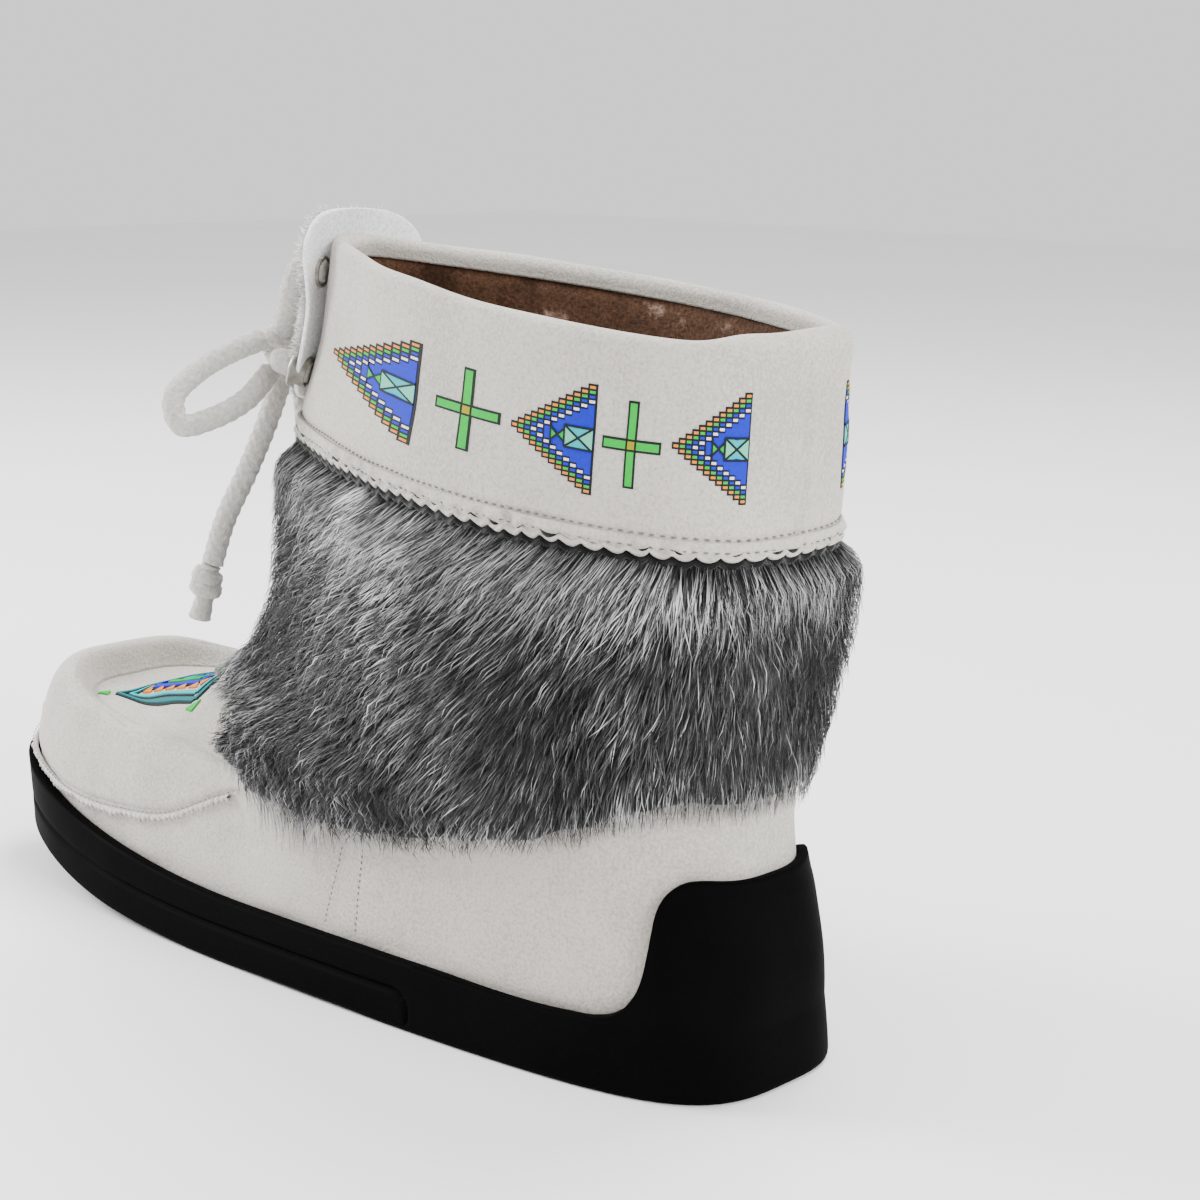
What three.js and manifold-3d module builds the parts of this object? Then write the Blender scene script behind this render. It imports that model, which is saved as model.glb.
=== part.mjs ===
// Mukluk boot, left foot, empty and standing on its sole.
// Millimetres. Toe towards +X, the wearer's left (outer side) towards +Y, up is +Z.
// The working frame has x = 0 at the back of the upper, y = 0 on the heel's middle line and
// z = 0 on the ground; the finished group is moved so that its origin is the middle of its base.

import * as THREE from 'three';
import { mergeVertices } from 'three/addons/utils/BufferGeometryUtils.js';
import Module from 'manifold-3d';

const wasm = await Module();
wasm.setup();

// Main sizes of the last
const footLength = 266; // back of the heel to the toe, at the top of the sole
const ballHalfWidth = 48; // half the width across the ball, at the top of the sole
const shaftHeight = 169; // ground to the collar at the back
const toeSpring = 15; // rise of the sole's underside at the toe

// Walls and clearances
const upperWall = 2.4; // suede with its lining
const cuffWall = 1.8;
const furSkin = 3.0; // hide that carries the fur, at its top and bottom edges
const tongueWall = 3.2;
const soleWall = 3.2; // rubber beside the upper
const insoleThickness = 4.0;
const seamGap = 0.3; // left between curved pieces that touch on the real boot

// Sole
const soleFloor = 9.8; // ground to the footbed at the heel
const springBack = 149; // where the toe spring starts
const soleLip = 1.6; // sole's side past the upper at its top edge
const heelFlare = 6.5; // sole's side past the upper at the ground
const flareFront = 0.65; // the flare round the forefoot, a share of the heel's
const archRise = 1.6;
const archBack = 84;
const archFront = 150;
const archRamp = 22; // length of each end of the arch
const edgeRound = 2.2; // rounded edge of the underside
const lugDepth = 2.6;
const lugWidth = 5.0;
const lugPitch = 14.0;
const lugSpan = 60; // length of the grooves across the tread
const treadTop = 9.0; // underside to the groove round the forefoot
const treadBack = 74; // back end of the forefoot tread
const treadCorner = 7;

// Toe piece, cuff, fur, tongue and lace
const toeStep = 0.9; // the toe piece is laid over the lower side and turned in along its seam
const cuffLip = 2.4; // cuff turned over the top of the shaft
const furDepth = 13.0; // fur standing off the shaft where it is deepest
const furFrontShare = 0.75; // the fur is thinner over the instep
const lockLength = 15;
const lockWidth = 9;
// Rows of locks: where they are rooted from the fur's bottom edge (0) to its top, and how many
const LOCK_ROWS = [{ root: 0.12, count: 26 }, { root: 0.4, count: 13 }, { root: 0.66, count: 13 }];
const tongueWidth = 43;
const tongueCurve = 9; // fall of the tongue's edges behind its middle, above the collar
const tongueWrap = 14; // the same lower down, where it lies round the cuff's front
const tongueWaist = 0.7; // half width low down, a share of that at the top
const tongueRound = 3.2; // power of its rounded outline
const laceDiameter = 5.6;
const eyeletHole = 3.5; // radius
const eyeletBarrel = 0.6;
const eyeletRim = 1.7;
const eyeletFlange = 0.9;
const eyeletSpacing = 22;
const laceTurn = 6.2; // how far the lace stands out of an eyelet before it turns
const barLean = 1.5; // the bar leans in at that turn
const strandLean = 1;
const strandDrop = 5; // the strands to the knot fall at that turn
const knotRadius = 8;
const endKnotRadius = 5;

// Lace, by hand: knot, bow and ends as it lies in front of the cuff
const LACE = {
  knot: [169.8, 1.5, 156.5],
  outerLoop: [[169, 11, 159], [171, 20, 156], [173, 29, 151.5], [173, 37, 145], [170, 37, 138.5],
    [166, 30, 140], [164, 21, 144], [166.5, 10.5, 150.5]],
  innerLoop: [[168, -8, 158.5], [167, -17, 155.5], [165, -26, 149.5], [161, -31, 142], [158, -29, 136],
    [158, -22, 138.5], [161, -15, 144.5], [167, -8.2, 151]],
  outerEnd: [[169, 4, 149.5], [168.5, 10, 137.5], [172.4, 14, 124], [177.6, 18, 110.2], [180, 20.7, 98.3]],
  outerEndKnot: [181.2, 22, 92.7],
  innerEnd: [[170, -2.5, 150.2], [170, -4, 136.5], [175.5, -8, 124], [179.5, -11, 112],
    [182.1, -13.1, 100.4]],
  innerEndKnot: [183.2, -13.8, 94.6],
};

// Facets
const around = 44;
const tubeSides = 8;
const eyeletSides = 10;
const loopSteps = 16;
const endSteps = 8;

// Rings of the last from the footbed to the collar. back, front: share of the foot length;
// zBack, zFront: share of the way from soleFloor to shaftHeight; out and in: half widths of each side
// at the heel, waist and toe, shares of ballHalfWidth; pBack, pFront: roundness of the ends;
// from, bend: where along the ring its height starts to rise, and how sharply.
const LAST = [
  { name: 'footbed', back: 0.008, front: 0.972, zBack: 0.000, zFront: 0.114, outHeel: 0.77, outWaist: 0.78,
    outToe: 1.02, inHeel: 0.75, inWaist: 0.70, inToe: 1.08, pBack: 0.52, pFront: 0.62, from: 0.54, bend: 2 },
  { name: 'feather', back: 0.000, front: 1.000, zBack: 0.037, zFront: 0.163, outHeel: 0.80, outWaist: 0.80,
    outToe: 1.08, inHeel: 0.78, inWaist: 0.73, inToe: 1.14, pBack: 0.52, pFront: 0.61, from: 0.54, bend: 2 },
  { name: 'toe bulge', back: -0.004, front: 1.002, zBack: 0.115, zFront: 0.234, outHeel: 0.80, outWaist: 0.80,
    outToe: 1.04, inHeel: 0.78, inWaist: 0.74, inToe: 1.12, pBack: 0.56, pFront: 0.60, from: 0.45, bend: 2 },
  { name: 'toe ridge', back: 0.000, front: 0.962, zBack: 0.202, zFront: 0.303, outHeel: 0.80, outWaist: 0.78,
    outToe: 0.84, inHeel: 0.78, inWaist: 0.75, inToe: 0.90, pBack: 0.62, pFront: 0.58, from: 0.35,
    bend: 1.5 },
  { name: 'plug edge', back: 0.004, front: 0.918, zBack: 0.246, zFront: 0.270, outHeel: 0.79, outWaist: 0.77,
    outToe: 0.58, inHeel: 0.78, inWaist: 0.75, inToe: 0.64, pBack: 0.66, pFront: 0.56, from: 0.30,
    bend: 1.3 },
  { name: 'plug', back: 0.008, front: 0.838, zBack: 0.294, zFront: 0.283, outHeel: 0.79, outWaist: 0.76,
    outToe: 0.44, inHeel: 0.78, inWaist: 0.75, inToe: 0.48, pBack: 0.68, pFront: 0.56, from: 0.20,
    bend: 1.2 },
  { name: 'vamp', back: 0.011, front: 0.700, zBack: 0.361, zFront: 0.355, outHeel: 0.79, outWaist: 0.76,
    outToe: 0.38, inHeel: 0.78, inWaist: 0.75, inToe: 0.40, pBack: 0.67, pFront: 0.56, from: 0.10,
    bend: 1.1 },
  { name: 'instep', back: 0.010, front: 0.630, zBack: 0.456, zFront: 0.467, outHeel: 0.79, outWaist: 0.76,
    outToe: 0.32, inHeel: 0.78, inWaist: 0.75, inToe: 0.33, pBack: 0.64, pFront: 0.56, from: 0.05, bend: 1 },
  { name: 'ankle', back: 0.003, front: 0.602, zBack: 0.575, zFront: 0.607, outHeel: 0.80, outWaist: 0.76,
    outToe: 0.27, inHeel: 0.79, inWaist: 0.75, inToe: 0.27, pBack: 0.61, pFront: 0.55, from: 0, bend: 1 },
  { name: 'cuff edge', back: -0.009, front: 0.594, zBack: 0.729, zFront: 0.795, outHeel: 0.79, outWaist: 0.76,
    outToe: 0.32, inHeel: 0.78, inWaist: 0.74, inToe: 0.22, pBack: 0.58, pFront: 0.55, from: 0, bend: 1 },
  { name: 'mid cuff', back: -0.014, front: 0.563, zBack: 0.865, zFront: 0.947, outHeel: 0.80, outWaist: 0.76,
    outToe: 0.25, inHeel: 0.76, inWaist: 0.72, inToe: 0.22, pBack: 0.58, pFront: 0.54, from: 0, bend: 1 },
  { name: 'collar', back: -0.019, front: 0.541, zBack: 1.000, zFront: 1.098, outHeel: 0.82, outWaist: 0.77,
    outToe: 0.27, inHeel: 0.76, inWaist: 0.70, inToe: 0.22, pBack: 0.58, pFront: 0.52, from: 0, bend: 1 },
];
const FEATHER = 1;
const CUFF_EDGE = 9;
const COLLAR = LAST.length - 1;
const eyeletRings = [10.72, 9.62]; // rings of the last beside the upper and lower eyelets

// Lines that cross the rings. along: share of the way from heel to toe; ring: ring number there.
const FUR_EDGE = [
  { along: 0, ring: 5.8 }, { along: 0.03, ring: 5.9 }, { along: 0.08, ring: 5.7 }, { along: 0.15, ring: 5.1 },
  { along: 0.19, ring: 4.5 }, { along: 0.27, ring: 3.95 }, { along: 0.34, ring: 3.4 },
  { along: 0.4, ring: 2.9 },
  { along: 0.47, ring: 2.7 }, { along: 0.55, ring: 2.85 }, { along: 0.6, ring: 3.3 },
  { along: 0.64, ring: 3.7 },
  { along: 0.76, ring: 5.0 }, { along: 0.85, ring: 5.45 }, { along: 1, ring: 5.65 },
];
const TOE_SEAM = [
  { along: 0, ring: 4.2 }, { along: 0.5, ring: 3.6 }, { along: 0.6, ring: 2.7 }, { along: 0.66, ring: 2.13 },
  { along: 0.74, ring: 1.73 }, { along: 0.83, ring: 1.4 }, { along: 1, ring: 1.25 },
];
// Top edge of the sole: the feather line, and up round the back of the heel as a cup.
const SOLE_EDGE = [
  { along: 0, ring: 4.85 }, { along: 0.021, ring: 4.7 }, { along: 0.038, ring: 4.4 },
  { along: 0.05, ring: 3.9 },
  { along: 0.066, ring: 1.8 }, { along: 0.08, ring: 1.45 }, { along: 0.11, ring: 1.1 },
  { along: 0.14, ring: 1 },
  { along: 1, ring: 1 },
];
// Thickness of the fur off the shaft from its bottom edge (0) to the cuff (1), shares of furDepth.
const FUR_DEPTH = [
  { along: 0, depth: 0.30 }, { along: 0.15, depth: 0.55 }, { along: 0.45, depth: 0.8 },
  { along: 0.75, depth: 1.0 },
  { along: 0.92, depth: 0.85 }, { along: 1, depth: 0.16 },
];

const clamp01 = (x) => Math.min(1, Math.max(0, x));
const lerp = (a, b, t) => a + (b - a) * t;
const smooth = (x) => clamp01(x) ** 2 * (3 - 2 * clamp01(x));

// Value of a table's column at a place, with a soft passage between its rows.
function tableAt(table, key, at) {
  let i = 0;
  while (i < table.length - 2 && at > table[i + 1].along) i += 1;
  const [low, high] = [table[i], table[i + 1]];
  return lerp(low[key], high[key], smooth((at - low.along) / (high.along - low.along)));
}

// A ring's column between two rings: a cubic through the rows, straight past both ends.
function lastColumn(key, ring) {
  const row = (i) => LAST[i][key];
  if (ring <= 0) return row(0) + (row(1) - row(0)) * ring;
  if (ring >= COLLAR) return row(COLLAR) + (row(COLLAR) - row(COLLAR - 1)) * (ring - COLLAR);
  const i = Math.floor(ring);
  const t = ring - i;
  const slope = (k) => (k <= 0 ? row(1) - row(0) : k >= COLLAR ? row(COLLAR) - row(COLLAR - 1)
    : (row(k + 1) - row(k - 1)) / 2);
  const [t2, t3] = [t * t, t * t * t];
  return (2 * t3 - 3 * t2 + 1) * row(i) + (t3 - 2 * t2 + t) * slope(i)
    + (3 * t2 - 2 * t3) * row(i + 1) + (t3 - t2) * slope(i + 1);
}

const alongOf = (angle) => (1 - Math.cos(angle)) / 2;

// Point of the last. angle runs from the heel (0) round the outer side to the toe (pi) and back.
function lastPoint(angle, ring) {
  const c = (key) => lastColumn(key, ring);
  const s = alongOf(angle);
  const sine = Math.sin(angle);
  const side = sine >= 0 ? 'out' : 'in';
  const half = c(`${side}Heel`) * (1 - s) * (1 - 2 * s) + c(`${side}Waist`) * 4 * s * (1 - s)
    + c(`${side}Toe`) * s * (2 * s - 1);
  const round = Math.max(0.3, lerp(c('pBack'), c('pFront'), s));
  const lift = clamp01((s - Math.max(0, c('from'))) / (1 - Math.max(0, c('from')))) ** Math.max(1, c('bend'));
  return new THREE.Vector3(
    footLength * lerp(c('back'), c('front'), s),
    Math.sign(sine) * ballHalfWidth * half * Math.abs(sine) ** round,
    lerp(soleFloor, shaftHeight, lerp(c('zBack'), c('zFront'), lift)),
  );
}

// Outward normal of the last
function lastNormal(angle, ring) {
  const [da, dr] = [0.02, 0.05];
  const a = lastPoint(angle + da, ring).sub(lastPoint(angle - da, ring));
  const r = lastPoint(angle, ring + dr).sub(lastPoint(angle, ring - dr));
  return r.cross(a).normalize();
}

// Small step of the toe piece over the lower side
function stepOut(angle, ring) {
  const s = alongOf(angle);
  const seam = tableAt(TOE_SEAM, 'ring', s);
  return toeStep * smooth((ring - seam) / 0.12 + 0.5) * smooth((5 - ring) / 1.5) * smooth((s - 0.45) / 0.1);
}

// Outer face of the upper, and faces at a distance from it
function upperPoint(angle, ring, offset = 0) {
  const normal = lastNormal(angle, ring);
  return lastPoint(angle, ring).addScaledVector(normal, stepOut(angle, ring) + offset);
}

const angles = Array.from({ length: around }, (_, i) => (2 * Math.PI * i) / around);
const ringOf = (place) => angles.map(place);

// Geometry from vertices and triangles
function geometryOf(points, triangles) {
  const geometry = new THREE.BufferGeometry();
  geometry.setAttribute('position', new THREE.Float32BufferAttribute(points.flatMap((p) => p.toArray()), 3));
  geometry.setIndex(triangles.flat());
  return geometry;
}

// Triangles between rings of equal length; the last ring meets the first when closed is true.
function bandTriangles(ringCount, count, closed) {
  const triangles = [];
  for (let k = 0; k < (closed ? ringCount : ringCount - 1); k += 1) {
    for (let i = 0; i < count; i += 1) {
      const [a, b] = [k * count + i, k * count + ((i + 1) % count)];
      const [c, d] = [((k + 1) % ringCount) * count + i, ((k + 1) % ringCount) * count + ((i + 1) % count)];
      triangles.push([a, b, d], [a, d, c]);
    }
  }
  return triangles;
}

// Cross strips over a ring whose points i and count - i face each other.
function capTriangles(start, count, flip) {
  const triangles = [];
  const at = (i) => start + (i % count);
  for (let i = 0; i < count / 2; i += 1) {
    const quad = [at(i), at(i + 1), at(count - i - 1), at(count - i)];
    if (i > 0) triangles.push(flip ? [quad[0], quad[3], quad[2]] : [quad[0], quad[2], quad[3]]);
    if (i < count / 2 - 1) triangles.push(flip ? [quad[0], quad[2], quad[1]] : [quad[0], quad[1], quad[2]]);
  }
  return triangles;
}

// Closed solid of a geometry, turned the right way out
function solidOf(geometry) {
  const bare = geometry.clone();
  bare.deleteAttribute('normal');
  bare.deleteAttribute('uv');
  const merged = mergeVertices(bare, 1e-4);
  const indices = Uint32Array.from(merged.index.array);
  const build = () => new wasm.Manifold(new wasm.Mesh({
    numProp: 3,
    vertProperties: Float32Array.from(merged.attributes.position.array),
    triVerts: indices,
  }));
  const solid = build();
  if (solid.volume() > 0) return solid;
  for (let i = 0; i < indices.length; i += 3) [indices[i], indices[i + 1]] = [indices[i + 1], indices[i]];
  return build();
}

// Hollow wall: rings go up one face and down the other.
const wallSolid = (rings) => solidOf(
  geometryOf(rings.flat(), bandTriangles(rings.length, rings[0].length, true)),
);

// Filled form: rings from bottom to top, closed by cross strips.
function filledSolid(rings) {
  const count = rings[0].length;
  return solidOf(geometryOf(rings.flat(), [
    ...bandTriangles(rings.length, count, false),
    ...capTriangles(0, count, true),
    ...capTriangles((rings.length - 1) * count, count, false),
  ]));
}

function meshOf(name, solid, finish) {
  const { vertProperties, triVerts, numProp } = solid.getMesh();
  const geometry = new THREE.BufferGeometry();
  const positions = new Float32Array((vertProperties.length / numProp) * 3);
  for (let i = 0; i < positions.length / 3; i += 1) {
    for (let k = 0; k < 3; k += 1) positions[3 * i + k] = vertProperties[numProp * i + k];
  }
  geometry.setAttribute('position', new THREE.BufferAttribute(positions, 3));
  geometry.setIndex(Array.from(triVerts));
  const mesh = new THREE.Mesh(geometry, new THREE.MeshStandardMaterial(finish));
  mesh.name = name;
  return mesh;
}

const span = (from, to, steps) => Array.from({ length: steps + 1 }, (_, i) => lerp(from, to, i / steps));

// Upper: rings are closer together round the toe, where the roll and the plug are.
const upperRings = [0, 1, 1.3, 1.6, 1.9, 2.3, 2.7, 3, 3.35, 3.7, 4, 4.5, 5.2, 6, 7, 8, 9, 10, COLLAR];

function makeUpper() {
  const outer = upperRings.map((ring) => ringOf((a) => upperPoint(a, ring)));
  const inner = upperRings.map((ring) => ringOf((a) => upperPoint(a, ring, -upperWall)));
  return wallSolid([...outer, ...inner.reverse()]);
}

// All that the upper encloses, with a clearance: what lies round the upper is cut with it.
function footSpace(clearance) {
  const rings = upperRings.map((ring) => ringOf((a) => upperPoint(a, ring, clearance)));
  const moved = (ring, rise) => ring.map((p) => p.clone().setZ(p.z + rise));
  return filledSolid([moved(rings[0], -clearance), ...rings, moved(rings[rings.length - 1], clearance)]);
}

// Rise of the toe: nothing up to springBack, all of it at the front of the sole
const springLength = footLength + soleWall + soleLip - springBack;
const springAt = (x) => toeSpring * clamp01((x - springBack) / springLength) ** 2;

// Height of the sole's underside
function undersideHeight(x) {
  return springAt(x) + archRise * smooth((x - archBack) / archRamp) * smooth((archFront - x) / archRamp);
}

function makeSoleBlock() {
  const edgeRing = (a) => tableAt(SOLE_EDGE, 'ring', alongOf(a));
  const outward = (a) => {
    const n = lastNormal(a, FEATHER);
    return n.setZ(0).normalize();
  };
  const foot = (a, extra, rise) => {
    const p = lastPoint(a, FEATHER).addScaledVector(outward(a), extra);
    return p.setZ(undersideHeight(p.x) + rise);
  };
  const flare = (a) => heelFlare * lerp(1, flareFront, smooth(alongOf(a) / 0.6));
  const middle = (a) => {
    const low = foot(a, flare(a), edgeRound);
    const high = lastPoint(a, FEATHER).addScaledVector(outward(a), soleLip + soleWall);
    return low.lerp(high, 0.6);
  };
  const cupSide = (a, share) => {
    const ring = lerp(FEATHER, edgeRing(a), share);
    const thick = lerp(soleWall, soleLip + 1, share * smooth((edgeRing(a) - 1) / 2));
    return lastPoint(a, ring).addScaledVector(outward(a), thick + 0.4);
  };
  const inside = (a) => lastPoint(a, edgeRing(a)).addScaledVector(outward(a), -upperWall);
  return filledSolid([
    ringOf((a) => foot(a, flare(a) - edgeRound, 0)),
    ringOf((a) => foot(a, flare(a), edgeRound)),
    ringOf(middle),
    ringOf((a) => cupSide(a, 0)),
    ringOf((a) => cupSide(a, 0.5)),
    ringOf((a) => cupSide(a, 1)),
    ringOf(inside),
  ]);
}

// Block from a drawn side view, run across the whole boot
function acrossBlock(shape, depth = 4 * ballHalfWidth) {
  const geometry = new THREE.ExtrudeGeometry(shape, { depth, bevelEnabled: false, curveSegments: 6 });
  geometry.rotateX(Math.PI / 2);
  geometry.translate(0, depth / 2, 0);
  return solidOf(geometry);
}

// Side view of the forefoot tread: below the groove, with a rounded back corner
function treadProfile(gap) {
  const front = footLength + 4 * heelFlare;
  const back = treadBack - gap;
  const shape = new THREE.Shape();
  shape.moveTo(back, -treadTop);
  shape.lineTo(back, treadTop + gap - treadCorner);
  shape.quadraticCurveTo(back, treadTop + gap, back + treadCorner, treadTop + gap);
  for (const x of span(back + 2 * treadCorner, front, 14)) shape.lineTo(x, treadTop + gap + springAt(x));
  shape.lineTo(front, -treadTop);
  shape.closePath();
  return shape;
}

// Grooves across the tread, cut from below
function lugCuts(from, to) {
  const cuts = [];
  for (let x = from; x <= to; x += lugPitch) {
    const box = new THREE.BoxGeometry(lugWidth, lugSpan, 2 * lugDepth);
    box.translate(x, 0, undersideHeight(x));
    cuts.push(solidOf(box));
  }
  return wasm.Manifold.union(cuts);
}

function makeSoleParts() {
  const block = makeSoleBlock();
  const cup = block.subtract(footSpace(seamGap));
  const tread = cup.intersect(acrossBlock(treadProfile(0)));
  const rest = cup.subtract(acrossBlock(treadProfile(seamGap)));
  return {
    sole: rest.subtract(lugCuts(lugPitch, treadBack - lugPitch)),
    tread: tread.subtract(lugCuts(treadBack + 3 * lugPitch, footLength - 2 * lugPitch)),
  };
}

function makeInsole() {
  const side = -upperWall - seamGap;
  const flat = (rise) => ringOf((a) => {
    const p = upperPoint(a, 0, side);
    return p.setZ(lastPoint(a, 0).z + rise);
  });
  return filledSolid([flat(0), flat(insoleThickness)]);
}

// Cuff: a band over the shaft with a lip turned over the collar
function makeCuff() {
  const rings = span(CUFF_EDGE, COLLAR, 2);
  const face = (offset) => rings.map((ring) => ringOf((a) => upperPoint(a, ring, offset)));
  const top = (offset, rise) => ringOf((a) => {
    const p = upperPoint(a, COLLAR, offset);
    return p.setZ(p.z + rise);
  });
  const outer = seamGap + cuffWall;
  const inner = -upperWall / 2;
  const band = wallSolid([
    ...face(outer),
    top(outer - 0.5, cuffLip),
    top(-upperWall + 0.4, cuffLip),
    top(-upperWall, seamGap + 0.8),
    top(-upperWall, inner),
    top(inner, 2 * inner),
    ...face(inner).reverse().slice(1),
  ]);
  return band.subtract(footSpace(seamGap));
}

// Fur: a padded band round the ankle with pointed locks standing off it
function furRing(angle, share) {
  return lerp(tableAt(FUR_EDGE, 'ring', alongOf(angle)), CUFF_EDGE - 0.06, share);
}

function furPoint(angle, share, offset) {
  return upperPoint(angle, furRing(angle, share), offset);
}

const furThickness = (angle, share) => furDepth * tableAt(FUR_DEPTH, 'depth', share)
  * lerp(1, furFrontShare, smooth((alongOf(angle) - 0.6) / 0.4));

function makeLock(angle, share, size) {
  const depth = furThickness(angle, share);
  const root = furPoint(angle, share, seamGap + depth * 0.5);
  const out = lastNormal(angle, furRing(angle, share));
  const down = furPoint(angle, Math.max(0, share - 0.05), seamGap).sub(furPoint(angle, share, seamGap));
  down.addScaledVector(out, -down.dot(out)).normalize();
  const sideways = new THREE.Vector3().crossVectors(out, down);
  const half = (lockWidth * size) / 2;
  const ring = (along, lift, width, thick) => [[1, 0], [0, 1], [-1, 0], [0, -1]].map(([s, n]) => root.clone()
    .addScaledVector(down, along).addScaledVector(out, lift + n * thick).addScaledVector(sideways, s * width));
  const height = furPoint(angle, 1, 0).distanceTo(furPoint(angle, 0, 0));
  const tip = furPoint(angle, share - (lockLength * size) / height, seamGap + Math.max(depth * 0.6, furSkin));
  const belly = ring(lockLength * size * 0.5, depth * 0.42, half * 0.8, 2.2);
  const points = [...ring(-2, 0, half, depth * 0.3), ...belly, tip];
  const triangles = bandTriangles(2, 4, false);
  triangles.push([0, 2, 1], [0, 3, 2]);
  for (let i = 0; i < 4; i += 1) triangles.push([4 + i, 4 + ((i + 1) % 4), 8]);
  return solidOf(geometryOf(points, triangles));
}

function makeFurBand() {
  const shares = [0, 0.15, 0.4, 0.7, 0.93, 1];
  const thick = (a, v) => seamGap + Math.max(furSkin, furThickness(a, v));
  const outer = shares.map((v) => ringOf((a) => furPoint(a, v, thick(a, v))));
  const inner = shares.map((v) => ringOf((a) => furPoint(a, v, -upperWall / 2)));
  const band = wallSolid([...outer, ...inner.reverse()]);
  const locks = LOCK_ROWS.flatMap(({ root, count }, row) => Array.from({ length: count }, (_, i) => {
    const angle = (2 * Math.PI * (i + 0.5 * (row % 2))) / count;
    return makeLock(angle, root, 0.85 + 0.3 * Math.abs(Math.sin(5 * i + row)));
  }));
  return wasm.Manifold.union([band, ...locks]).subtract(footSpace(seamGap));
}

// Tongue: a rounded patch that stands in front of the cuff and above the collar.
// Its rings run up the cuff's front; across says how far from its middle a point is, -1 to 1.
const tongueLow = CUFF_EDGE + 0.25;
const tongueHigh = COLLAR + 0.36;

function tonguePoint(across, ring, depth) {
  const front = upperPoint(Math.PI, ring, 2 * seamGap + cuffWall);
  const middle = (tongueLow + tongueHigh) / 2;
  const rise = Math.abs(ring - middle) / ((tongueHigh - tongueLow) / 2);
  const half = (tongueWidth / 2) * (1 - rise ** tongueRound) ** (1 / tongueRound);
  const open = smooth((ring - (COLLAR - 0.8)) / 0.9);
  const y = across * half * lerp(tongueWaist, 1, open);
  const fall = lerp(tongueWrap, tongueCurve, open) * (y / (tongueWidth / 2)) ** 2;
  return new THREE.Vector3(front.x + depth - fall, y, front.z);
}

function tongueNormal(across, ring) {
  const a = tonguePoint(across + 0.05, ring, 0).sub(tonguePoint(across - 0.05, ring, 0));
  const r = tonguePoint(across, ring + 0.05, 0).sub(tonguePoint(across, ring - 0.05, 0));
  return a.cross(r).normalize();
}

function makeTongueBlank() {
  const columns = 6;
  const rows = 10;
  const levels = span(0, 1, rows).map((v) => 0.5 - 0.499 * Math.cos(Math.PI * v));
  const rings = levels.map((level) => {
    const ring = lerp(tongueLow, tongueHigh, level);
    const across = span(-1, 1, columns);
    return [
      tonguePoint(-1, ring, tongueWall / 2),
      ...across.slice(1, -1).map((c) => tonguePoint(c, ring, tongueWall)),
      tonguePoint(1, ring, tongueWall / 2),
      ...across.slice(1, -1).reverse().map((c) => tonguePoint(c, ring, 0)),
    ];
  });
  return filledSolid(rings);
}

// Eyelets: places on the tongue's front face, two rows of two
const eyeletPlaces = eyeletRings.flatMap((ring, row) => [1, -1].map((side) => ({ row, side, ring })));

function eyeletFrame({ side, ring }) {
  const half = tonguePoint(1, ring, 0).y;
  const across = (side * eyeletSpacing) / 2 / half;
  return { at: tonguePoint(across, ring, tongueWall), out: tongueNormal(across, ring) };
}

// A turned form set on the tongue, its axis along the tongue's normal
function setOnTongue(geometry, place) {
  const { at, out } = eyeletFrame(place);
  geometry.applyQuaternion(new THREE.Quaternion().setFromUnitVectors(new THREE.Vector3(0, 1, 0), out));
  geometry.translate(at.x, at.y, at.z);
  return solidOf(geometry);
}

function makeEyelet(place) {
  const rim = eyeletHole + eyeletRim;
  const barrel = eyeletHole + eyeletBarrel;
  const low = -tongueWall - seamGap;
  const high = seamGap + eyeletFlange;
  const outline = [
    [eyeletHole, low], [barrel, low], [barrel, seamGap], [rim, seamGap], [rim, high], [eyeletHole, high],
    [eyeletHole, low],
  ].map(([r, y]) => new THREE.Vector2(r, y));
  return setOnTongue(new THREE.LatheGeometry(outline, eyeletSides), place);
}

function makeTongue() {
  const reach = 4 * tongueWall;
  const drill = () => new THREE.CylinderGeometry(
    eyeletHole + eyeletBarrel + seamGap, eyeletHole + eyeletBarrel + seamGap, reach, eyeletSides,
  );
  const holes = eyeletPlaces.map((place) => setOnTongue(drill(), place));
  return makeTongueBlank().subtract(wasm.Manifold.union(holes));
}

// Round cord through a list of points
function cordSolid(points, steps, diameter = laceDiameter) {
  const section = new THREE.Shape();
  for (let i = 0; i < tubeSides; i += 1) {
    const a = (2 * Math.PI * i) / tubeSides;
    section[i === 0 ? 'moveTo' : 'lineTo']((diameter / 2) * Math.cos(a), (diameter / 2) * Math.sin(a));
  }
  section.closePath();
  const route = new THREE.CatmullRomCurve3(points, false, 'centripetal');
  return solidOf(new THREE.ExtrudeGeometry(section, { steps, bevelEnabled: false, extrudePath: route }));
}

// A place beside an eyelet: distance along its axis, and a shift in the room
function besideEyelet(place, along, shift = [0, 0, 0]) {
  const { at, out } = eyeletFrame(place);
  return at.clone().addScaledVector(out, along).add(new THREE.Vector3(...shift));
}

// Straight stretch of lace through an eyelet, from just behind the tongue
const throughEyelet = (place) => [-tongueWall - seamGap, -tongueWall / 2, laceTurn / 2]
  .map((along) => besideEyelet(place, along));

// Bar of the lace across the tongue, in at both lower eyelets
function makeLaceBar() {
  const [outer, inner] = eyeletPlaces.filter(({ row }) => row === 1);
  const turn = (place) => besideEyelet(place, laceTurn, [0, -place.side * barLean, 0]);
  const arm = (place) => [...throughEyelet(place), turn(place)];
  const middle = tonguePoint(0, outer.ring, tongueWall + laceDiameter / 2 + 2 * seamGap);
  return cordSolid([...arm(outer), middle, ...arm(inner).reverse()], 18);
}

// Knot of the bow with the two strands that come down to it from the upper eyelets
const knotCentre = new THREE.Vector3(...LACE.knot);

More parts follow.
